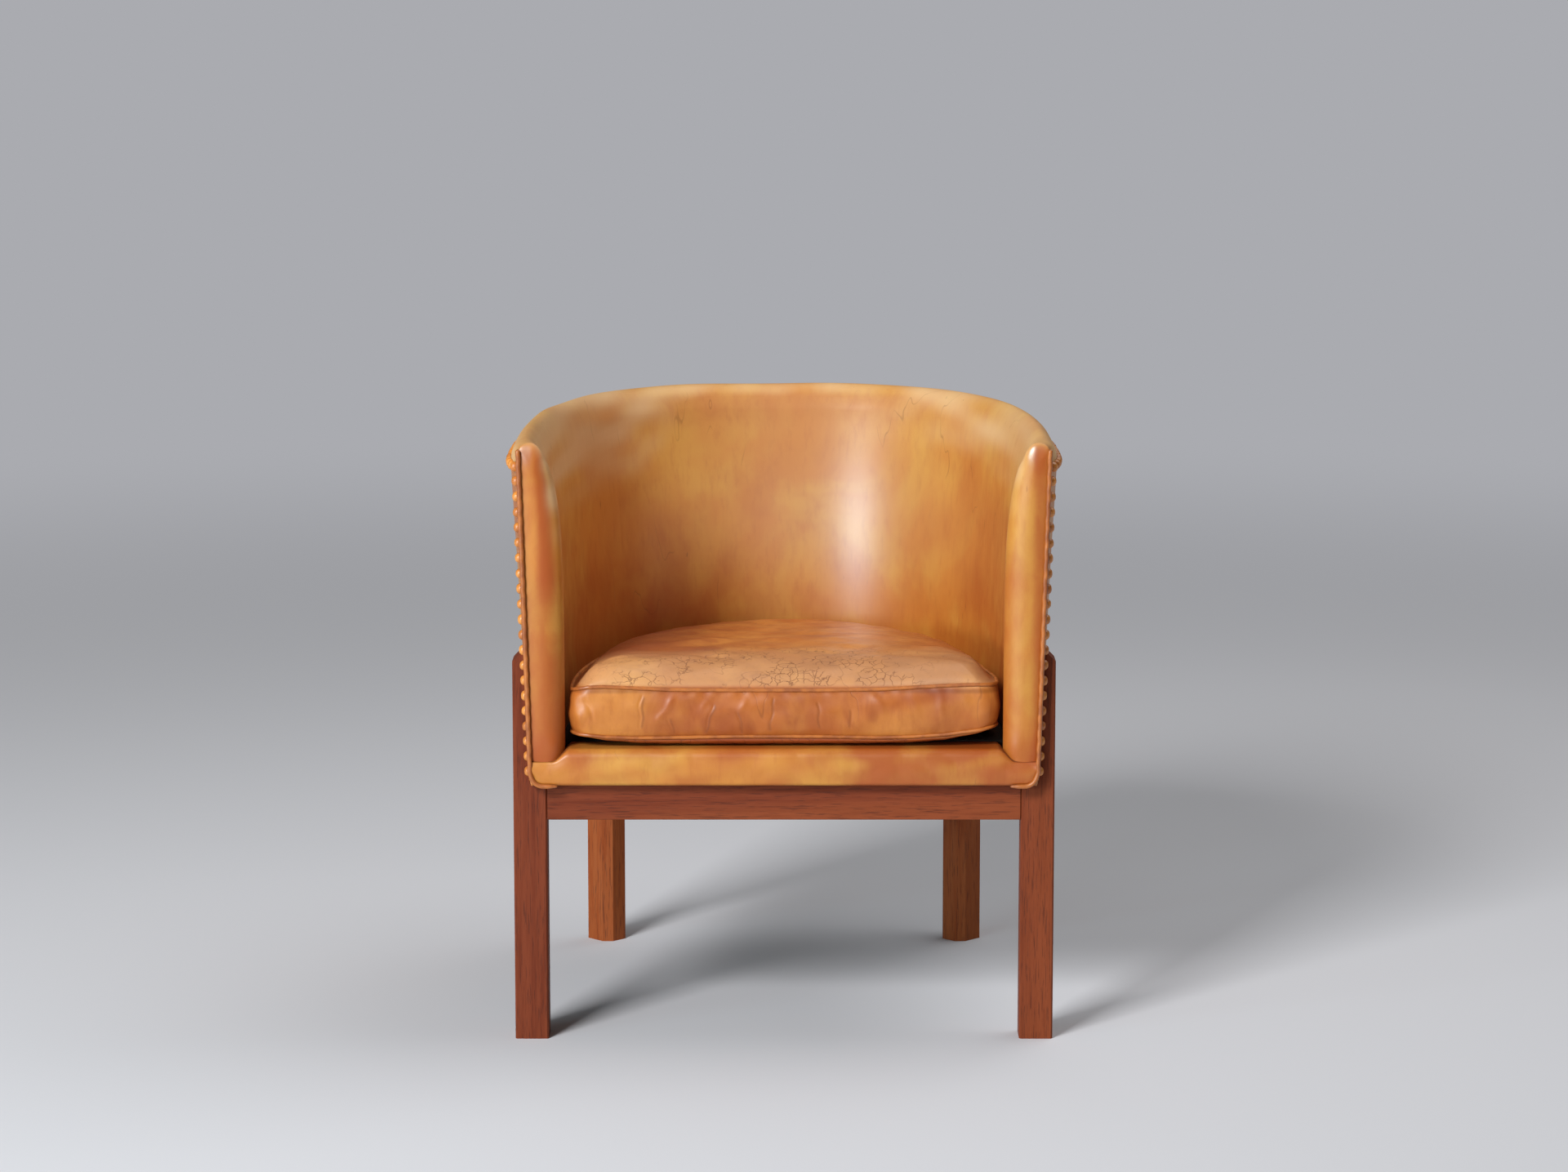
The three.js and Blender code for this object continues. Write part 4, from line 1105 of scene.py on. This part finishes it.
def cover_sheet():
    """A flat sheet that narrows to the back, sagging by half a sine each way, puckered at the edges."""
    u, v = np.meshgrid(np.linspace(-1, 1, cover_steps), np.linspace(0, 1, cover_steps), indexing="ij")
    x = u * mix(cover_front, cover_rear, v)
    sag = cover_sag * np.sin(np.pi * v) * np.cos(np.pi / 2 * u)
    at_edge = 1 - (1 - u**2) * np.sin(np.pi * v)
    pucker = cover_pucker * waves(u * 20, v * 20, 71, 6) * at_edge
    return np.stack([x, mix(cover_low.y, cover_high.y, v), cover_low.z - sag - np.abs(pucker)], axis=-1)


cover_faces = grid_faces(cover_steps, cover_steps)[:, ::-1]
dust_cover = make_piece("dust_cover_cambric", cover_sheet(), cover_faces, dust_cambric)
cover_thickness = dust_cover.modifiers.new("cloth", "SOLIDIFY")
cover_thickness.thickness = cambric_thickness
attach(dust_cover, "chair")
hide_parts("dust_cover")

# Seat cushion: a loose boxed cushion of the same hide over feathers and foam, crowned on top and
# soft below, with the dry cracks, creases and darker parts of long use, dirt and painted shade in
# its seams and narrow grooves, and painted light on the front of the crown.
piping_low, piping_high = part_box("cushion_piping_top")
cushion_half = piping_high.x
cushion_front = piping_low.y - rail_face
cushion_back = piping_high.y - rail_face
belly_back_drop = 0.011
cushion_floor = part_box("seat_cushion")[0].z + belly_back_drop
cushion_turn = 0.040
cushion_corner = 0.026
cushion_draw = 0.005
cushion_low_seam = 0.3775
cushion_high_seam = 0.4350
cushion_crown = 0.0325
crown_reach = 0.1
belly_reach = 0.012
belly_power = 3.2
cushion_swell = 0.0085
seat_tilt = 0.022
belly_lump = 0.0006
belly_round = 0.002
seam_pucker = 0.00025
boxing_lump = 0.0007
crown_lump = 0.0009
crown_crease = 0.00012
crown_rough_fade = 0.02
corner_places = (0.262, 0.215)
front_edge_depths = (0.06, 0.0)
seam_fade_depths = (0.16, 0.03)
piping_radius = 0.0023
cushion_gold = (206, 132, 57)
cushion_amber = (182, 100, 38)
cushion_rust = (142, 60, 20)
cushion_hide = cowhide(
    "cushion_hide",
    cushion_gold,
    cushion_amber,
    cushion_rust,
    crack_share=1.0,
    gloss=0.46,
    polish=0.5,
    patching=0.5,
)

# Places across the front edge, and how far each seam and the belly lie above their usual level
# there, in millimetres.
seam_places = [-262, -250, -238, -218, -177, -138, -60, 40, 118, 157, 197, 236, 262]
high_seam_rise = [-1.5, 2.0, 4.5, 5.0, 3.0, 1.0, 0.2, 0.0, 1.6, 4.0, 6.5, 8.0, 7.0]
low_seam_rise = [5.0, 3.5, 2.6, 0.5, -1.0, -0.7, 0.4, 0.4, -0.6, 0.6, 3.6, 9.0, 14.0]
belly_rise = [13.0, 11.0, 9.0, 5.0, 1.6, 0.6, 0.0, 0.3, 1.2, 2.4, 5.6, 14.0, 22.0]

# Folds in the front boxing: start and end as (place across, height over the lower seam), half
# width and height, in millimetres; a negative height is a groove, and a narrow one gets dirt and
# painted shade.
groove_width = 2
boxing_folds = [
    ((-252, 46), (-240, 14), 5.0, 1.0),
    ((-238, 44), (-226, 20), 3.0, -1.2),
    ((-231, 22), (-243, 10), 3.0, -0.8),
    ((-171, 50), (-172, 12), 1.5, -0.55),
    ((-131, 48), (-149, 20), 4.0, 1.1),
    ((-137, 24), (-134, 4), 1.3, -0.4),
    ((-88, 46), (-98, 36), 3.5, 0.6),
    ((-84, 40), (-95, 6), 1.3, -0.6),
    ((-46, 46), (-51, 30), 4.0, 0.7),
    ((-55, 32), (-50, 5), 1.3, -0.5),
    ((-12, 48), (-17, 8), 1.4, -0.5),
    ((40, 44), (43, 12), 1.6, -0.35),
    ((79, 34), (80, 12), 1.3, -0.35),
    ((108, 50), (120, 26), 5.0, 0.8),
    ((152, 50), (158, 28), 6.0, 0.6),
    ((186, 48), (186, 18), 5.0, 0.8),
    ((212, 46), (221, 22), 6.0, 0.6),
    ((246, 48), (250, 18), 4.0, -0.6),
]

# Folds on the crown, in the same form, with the depth behind the front as the second place.
top_folds = [
    ((-190, 92), (-60, 70), 5.0, -1.6),
    ((-215, 60), (-120, 96), 7.0, 1.4),
    ((-150, 130), (20, 118), 9.0, 1.5),
    ((40, 96), (160, 74), 8.0, -1.2),
    ((-120, 190), (80, 210), 14.0, 1.8),
    ((60, 160), (200, 130), 10.0, 1.4),
    ((-40, 250), (150, 270), 12.0, -1.5),
]


def folds(strokes, u, v):
    """Soft folds and grooves: a Gaussian across each slightly wavy stroke, faded at both ends."""
    total = np.zeros(np.broadcast_shapes(u.shape, v.shape))
    for (u0, v0), (u1, v1), width, height in strokes:
        size = math.hypot(u1 - u0, v1 - v0)
        run_u, run_v = (u1 - u0) / size, (v1 - v0) / size
        along = (u * 1000 - u0) * run_u + (v * 1000 - v0) * run_v
        across = (v * 1000 - v0) * run_u - (u * 1000 - u0) * run_v
        across = across + 0.9 * np.sin(along * 0.24 + u0)
        end = width * 1.5
        fade = smooth(-end, end, along) * smooth(size + end, size - end, along)
        total += fade * bell(across, 0, width) * height / 1000
    return total


def cushion_outline(inset, count):
    """Plan of the cushion: straight sides, half an ellipse at the back, quarter circles at the front
    corners and a front edge that bows slightly in at its middle; steps three times finer in front."""
    half = cushion_half - inset
    reach = cushion_back - inset - cushion_turn
    radius = cushion_corner - inset * 0.6
    centre = half - radius
    start = cushion_front + cushion_corner
    around = np.linspace(np.pi, 0, 160)
    back = np.stack([half * np.cos(around), cushion_turn + reach * np.sin(around)], axis=1)
    turn = np.linspace(0, np.pi / 2, 14)
    right = np.stack([centre + radius * np.cos(turn), start - radius * np.sin(turn)], axis=1)
    across = np.linspace(1, -1, 60)[1:-1]
    front = np.stack([centre * across, start - radius + cushion_draw * (1 - across**2)], axis=1)
    left = right[::-1] * np.array([-1.0, 1.0])
    loop = np.concatenate([back, right, front, left])
    closed = np.concatenate([loop, loop[:1]])
    steps = np.linalg.norm(np.diff(closed, axis=0), axis=1)
    crowding = 1 + 2 * smooth(*front_edge_depths, 0.5 * (closed[1:, 1] + closed[:-1, 1]))
    way = np.concatenate([[0], np.cumsum(steps * crowding)])
    spots = np.linspace(0, way[-1], count, endpoint=False)
    return np.stack([np.interp(spots, way, closed[:, 0]), np.interp(spots, way, closed[:, 1])], axis=1)


def seam_rise(loop, rises):
    """Height of a seam over its level: the front edge's own rise, faded out behind the corners."""
    front = smooth(*seam_fade_depths, loop[:, 1])
    return np.interp(loop[:, 0], np.array(seam_places) / 1000, np.array(rises) / 1000) * front


cushion_columns = 900
cushion_middle = np.array([0.0, 0.27])


def belly_rings(seam, away, low, belly):
    """A middle that turns down to its edge by a cube, then a superellipse up to the lower seam."""
    rings = []
    for share in np.linspace(0, 1, 14)[:-1]:
        ring = mix(cushion_middle, seam - away * belly_reach, share)
        rings.append(np.column_stack([ring, mix(cushion_floor, belly, share**3)]))
    turned = belly_reach * (1 - np.cos(np.linspace(0, np.pi / 2, 16)))
    for inset in turned[::-1]:
        lump = belly_lump * waves(seam[:, 0] * 60, inset * 300 + seam[:, 1] * 60, 88, 6)
        lump = lump * inset / belly_reach
        drop = (1 - (1 - inset / belly_reach) ** belly_power) ** (1 / belly_power)
        ring = seam - away * (inset - belly_round * np.sin(np.pi * drop))
        rings.append(np.column_stack([ring, low - (low - belly) * drop + lump]))
    return rings


def boxing_rings(seam, away, low, high, front):
    """Up from seam to seam, swollen by a power of a parabola, with folds in front, fine puckers
    along the seams and slow lumps between them."""
    rings = []
    for share in np.linspace(0, 1, 38)[1:-1]:
        arch = 4 * share * (1 - share)
        height = share * (cushion_high_seam - cushion_low_seam)
        dent = folds(boxing_folds, seam[:, 0], np.full(len(seam), height)) * front
        near_seam = np.maximum(smooth(0.25, 0.0, share), smooth(0.75, 1.0, share))
        gathers = waves(seam[:, 0] * 330 + seam[:, 1] * 250, height * 60, 84, 5, 0.6, 1.4)
        lump = boxing_lump * waves(seam[:, 0] * 40 + seam[:, 1] * 25, height * 70, 85, 6)
        out = cushion_swell * arch**0.75 + dent + seam_pucker * gathers * near_seam + lump * arch
        rings.append(np.column_stack([seam + away * out[:, None], mix(low, high, share)]))
    return rings


def crown_rings(seam, away, span, high, front):
    """A quarter ellipse in from the upper seam, softer along the sides than in front, then a flat
    top that is spent towards the back, with folds, slow lumps and fine creases."""
    steep = front * smooth(*corner_places, np.abs(seam[:, 0]))
    reach = crown_reach * (1 - np.cos(np.linspace(0, np.pi / 2, 34)))
    insets = [np.full(len(seam), inset) for inset in reach]
    insets += [mix(crown_reach, span, way) for way in np.linspace(0, 1, 26)[1:]]
    rings = []
    for inset in insets:
        ring = seam - away * inset[:, None]
        u, v = ring[:, 0], ring[:, 1]
        share = np.clip(inset / crown_reach, 0, 1)
        dome = np.sqrt(1 - (1 - share) ** 2) * mix(np.sqrt(smooth(0, 0.38, share)), 1, steep)
        spent = 1 - 0.38 * smooth(0.2, 0.5, v)
        rough = folds(top_folds, u, v)
        rough = rough + crown_lump * waves(u * 22, v * 34, 86, 7)
        rough = rough + crown_crease * waves(u * 90, v * 100, 87, 9)
        base = mix(high, cushion_high_seam, smooth(0, crown_reach, inset))
        z = base + cushion_crown * dome * spent + rough * smooth(0, crown_rough_fade, inset)
        rings.append(np.column_stack([ring, z]))
    return rings


def cushion_cover():
    """Rings from the middle of the belly over both seams to the middle of the crown, tilted back."""
    seam = cushion_outline(2 * piping_radius, cushion_columns)
    low = cushion_low_seam + seam_rise(seam, low_seam_rise)
    high = cushion_high_seam + seam_rise(seam, high_seam_rise)
    belly = cushion_floor + seam_rise(seam, belly_rise)
    away = seam - cushion_middle
    span = np.linalg.norm(away, axis=1)
    away /= span[:, None]
    front = smooth(*front_edge_depths, seam[:, 1])
    rings = belly_rings(seam, away, low, belly)
    rings += boxing_rings(seam, away, low, high, front)
    rings += crown_rings(seam, away, span, high, front)
    points = np.array(rings)
    points[..., 2] -= seat_tilt * points[..., 1]
    return points


# Zones of wear, painted shade and painted light on the cushion: where each begins and where it is
# full, in metres across, behind the front rail's face, or away from a seam.
over_seam_levels = (cushion_high_seam + 0.001, cushion_high_seam + 0.008)
under_seam_levels = (cushion_low_seam - 0.001, cushion_low_seam - 0.004)
sat_on_depths = (0.24, 0.01)
sat_on_middle = 0.01
sat_on_places = (0.24, 0.05)
left_back_places = (-0.02, -0.2)
left_back_depths = (0.02, 0.12)
lit_front_depths = (0.125, 0.1)
lit_front_wave = 0.012
seam_soil_and_shade_gaps = (0.004, 0.001)
groove_soil_and_shade_depths = (0.03, 0.0)


def cushion_marks(points):
    """Marks by smooth steps in place: cracks on the front of the crown and the belly; darker on the
    belly, below the upper seam and at the left back; painted light on the front of the crown; dirt
    and painted shade along the seams and in narrow grooves."""
    x, y, z = np.moveaxis(points, -1, 0)
    level = z + seat_tilt * y
    on_top = smooth(*over_seam_levels, level)
    on_belly = smooth(*under_seam_levels, level)
    forward = smooth(*sat_on_depths, y)
    middle_part = 0.45 + 0.55 * smooth(*sat_on_places, np.abs(x - sat_on_middle))
    left_back = smooth(*left_back_places, x) * smooth(*left_back_depths, y)
    patina_and_shade = 0.16 + 0.15 * waves(x * 20, y * 20, 83, 5)
    patina_and_shade = patina_and_shade + on_belly * 0.85 + on_top * left_back * 0.8 + (1 - on_top) * 0.2
    # Painted light: the front of the crown, turned to the light, is paler and pinkish.
    front_zone = smooth(*lit_front_depths, y + lit_front_wave * waves(x * 14, y, 89, 4))
    # Dirt and painted shade along the seams and in narrow grooves.
    off_seam = np.minimum(np.abs(level - cushion_high_seam), np.abs(level - cushion_low_seam))
    grooves = [fold for fold in boxing_folds if fold[3] < 0 and fold[2] < groove_width]
    in_groove = -folds(grooves, x, level - cushion_low_seam) * 1000
    in_groove = in_groove * smooth(*groove_soil_and_shade_depths, y) * (1 - on_top) * (1 - on_belly)
    soil_and_shade = np.maximum(smooth(*seam_soil_and_shade_gaps, off_seam) * 0.5, in_groove)
    return {
        "patina_and_shade": np.clip(patina_and_shade, 0, 1),
        "painted_light": on_top * (0.16 + 0.3 * front_zone) * forward * (1 - 0.5 * left_back),
        "cracking": np.clip(on_top * forward * middle_part + on_belly, 0, 1),
        "soil_and_shade": np.clip(soil_and_shade, 0, 0.7),
        "shine": 0.2,
    }


cushion_points = cushion_cover()
seat_cushion = make_piece(
    "seat_cushion_cover",
    in_frame(cushion_points),
    grid_faces(*cushion_points.shape[:2], wrap_columns=True),
    cushion_hide,
    cushion_marks(cushion_points),
    weld=seam_weld,
)
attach(seat_cushion, "cushion")
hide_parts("seat_cushion")

# Cushion piping: a corded strip of hide sewn into each of the cushion's two seams.
piping_seams = (("bottom", cushion_low_seam, low_seam_rise), ("top", cushion_high_seam, high_seam_rise))
piping_inset = 0.9 * piping_radius
piping_sides = 12
for word, level_z, rises in piping_seams:
    loop = cushion_outline(piping_inset, cushion_columns)
    z = level_z + seam_rise(loop, rises) - seat_tilt * loop[:, 1]
    ring = tube(np.column_stack([loop, z]), piping_radius, piping_sides, closed=True, up=upward)
    piping = make_piece(
        f"cushion_piping_{word}_cord",
        in_frame(ring),
        grid_faces(cushion_columns, piping_sides, wrap_rows=True, wrap_columns=True),
        trim_hide,
    )
    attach(piping, "cushion")
    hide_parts(f"cushion_piping_{word}")

# Studio: a wide pale floor that fades into an even grey, a large soft lamp at the front left, a
# long low one beside it for the sheen on the back, a soft one overhead, and the camera at eye height.
floor_near = (218, 218, 222)
floor_glow = (170, 171, 176)
floor_size = 60.0
glow_start = 1.0
glow_full = 5.5
camera_distance = 5.5
camera_height = 1.4611
camera_pitch = 9.2637
sensor_width = 36.0
lens = 105.74
white = (1.0, 1.0, 1.0)
daylight = (0.72, 0.92, 1.0)
fill_colour = (1.0, 0.975, 0.95, 1.0)
fill_strength = 0.08

# Each lamp: name, place, what it faces, width, height, watts and colour.
lamps = (
    ("key_lamp", (-3.1, -5.2, 4.1), (0, 0, 0.4), 2.0, 2.0, 436, white),
    ("low_lamp", (-3.3, -3.85, 1.08), (0, 0, 0.55), 3.8, 0.65, 116, daylight),
    ("top_lamp", (1.3, 0.6, 3.1), (0, 0.1, 0.4), 2.6, 2.6, 41, white),
)

floor_finish = Finish("studio_floor")
floor_finish.coat(Base_Color=rgb(*floor_near), Roughness=0.9, Specular_IOR_Level=0.1)
ground = floor_finish.place((1.0, 1.0, 0.0))
away = floor_finish.node("ShaderNodeVectorMath", {"operation": "LENGTH"}, {0: ground}, "Value")
far_share = floor_finish.ramp(away, glow_start, glow_full)
seen = floor_finish.node("ShaderNodeLightPath", {}, {}, "Is Camera Ray")
glossy = floor_finish.node("ShaderNodeLightPath", {}, {}, "Is Glossy Ray")
glow = floor_finish.node("ShaderNodeEmission", {}, {"Color": rgb(*floor_glow), "Strength": 1.0})
surface = Reading(floor_finish, floor_finish.surface.outputs[0])
share = far_share * floor_finish.node("ShaderNodeMath", {"operation": "MAXIMUM"}, {0: seen, 1: glossy})
blend = floor_finish.node("ShaderNodeMixShader", {}, {0: share, 1: surface, 2: glow})
floor_finish.put(floor_finish.tree.nodes["Material Output"].inputs["Surface"], blend)
floor_corners = np.array([[-1, -1, 0], [1, -1, 0], [1, 1, 0], [-1, 1, 0]]) * floor_size
floor_face = np.array([[0, 1, 2, 3]])
floor = make_piece("studio_floor", floor_corners, floor_face, floor_finish.material)


def soft_lamp(name, place, aim, width, height, watts, colour):
    light = bpy.data.lights.new(name, "AREA")
    light.shape = "RECTANGLE"
    light.size = width
    light.size_y = height
    light.energy = watts
    light.color = colour
    lamp = bpy.data.objects.new(name, light)
    lamp.location = place
    lamp.rotation_euler = (Vector(aim) - Vector(place)).to_track_quat("-Z", "Y").to_euler()
    bpy.context.scene.collection.objects.link(lamp)


for lamp in lamps:
    soft_lamp(*lamp)

world = bpy.data.worlds.new("studio_world")
world.use_nodes = True
world_nodes = world.node_tree.nodes
world_links = world.node_tree.links
fill = world_nodes["Background"]
fill.inputs["Color"].default_value = fill_colour
fill.inputs["Strength"].default_value = fill_strength
backdrop = world_nodes.new("ShaderNodeBackground")
backdrop.inputs["Color"].default_value = rgb(*floor_glow)
path = world_nodes.new("ShaderNodeLightPath")
choice = world_nodes.new("ShaderNodeMixShader")
world_links.new(path.outputs["Is Camera Ray"], choice.inputs[0])
world_links.new(fill.outputs[0], choice.inputs[1])
world_links.new(backdrop.outputs[0], choice.inputs[2])
world_links.new(choice.outputs[0], world_nodes["World Output"].inputs["Surface"])
bpy.context.scene.world = world

camera_data = bpy.data.cameras.new("camera")
camera_data.sensor_width = sensor_width
camera_data.lens = lens
camera = bpy.data.objects.new("camera", camera_data)
camera.location = (0.0, rail_face - camera_distance, camera_height)
camera.rotation_euler = (math.radians(90 - camera_pitch), 0.0, 0.0)
bpy.context.scene.collection.objects.link(camera)
bpy.context.scene.camera = camera
bpy.context.scene.view_settings.view_transform = "Standard"
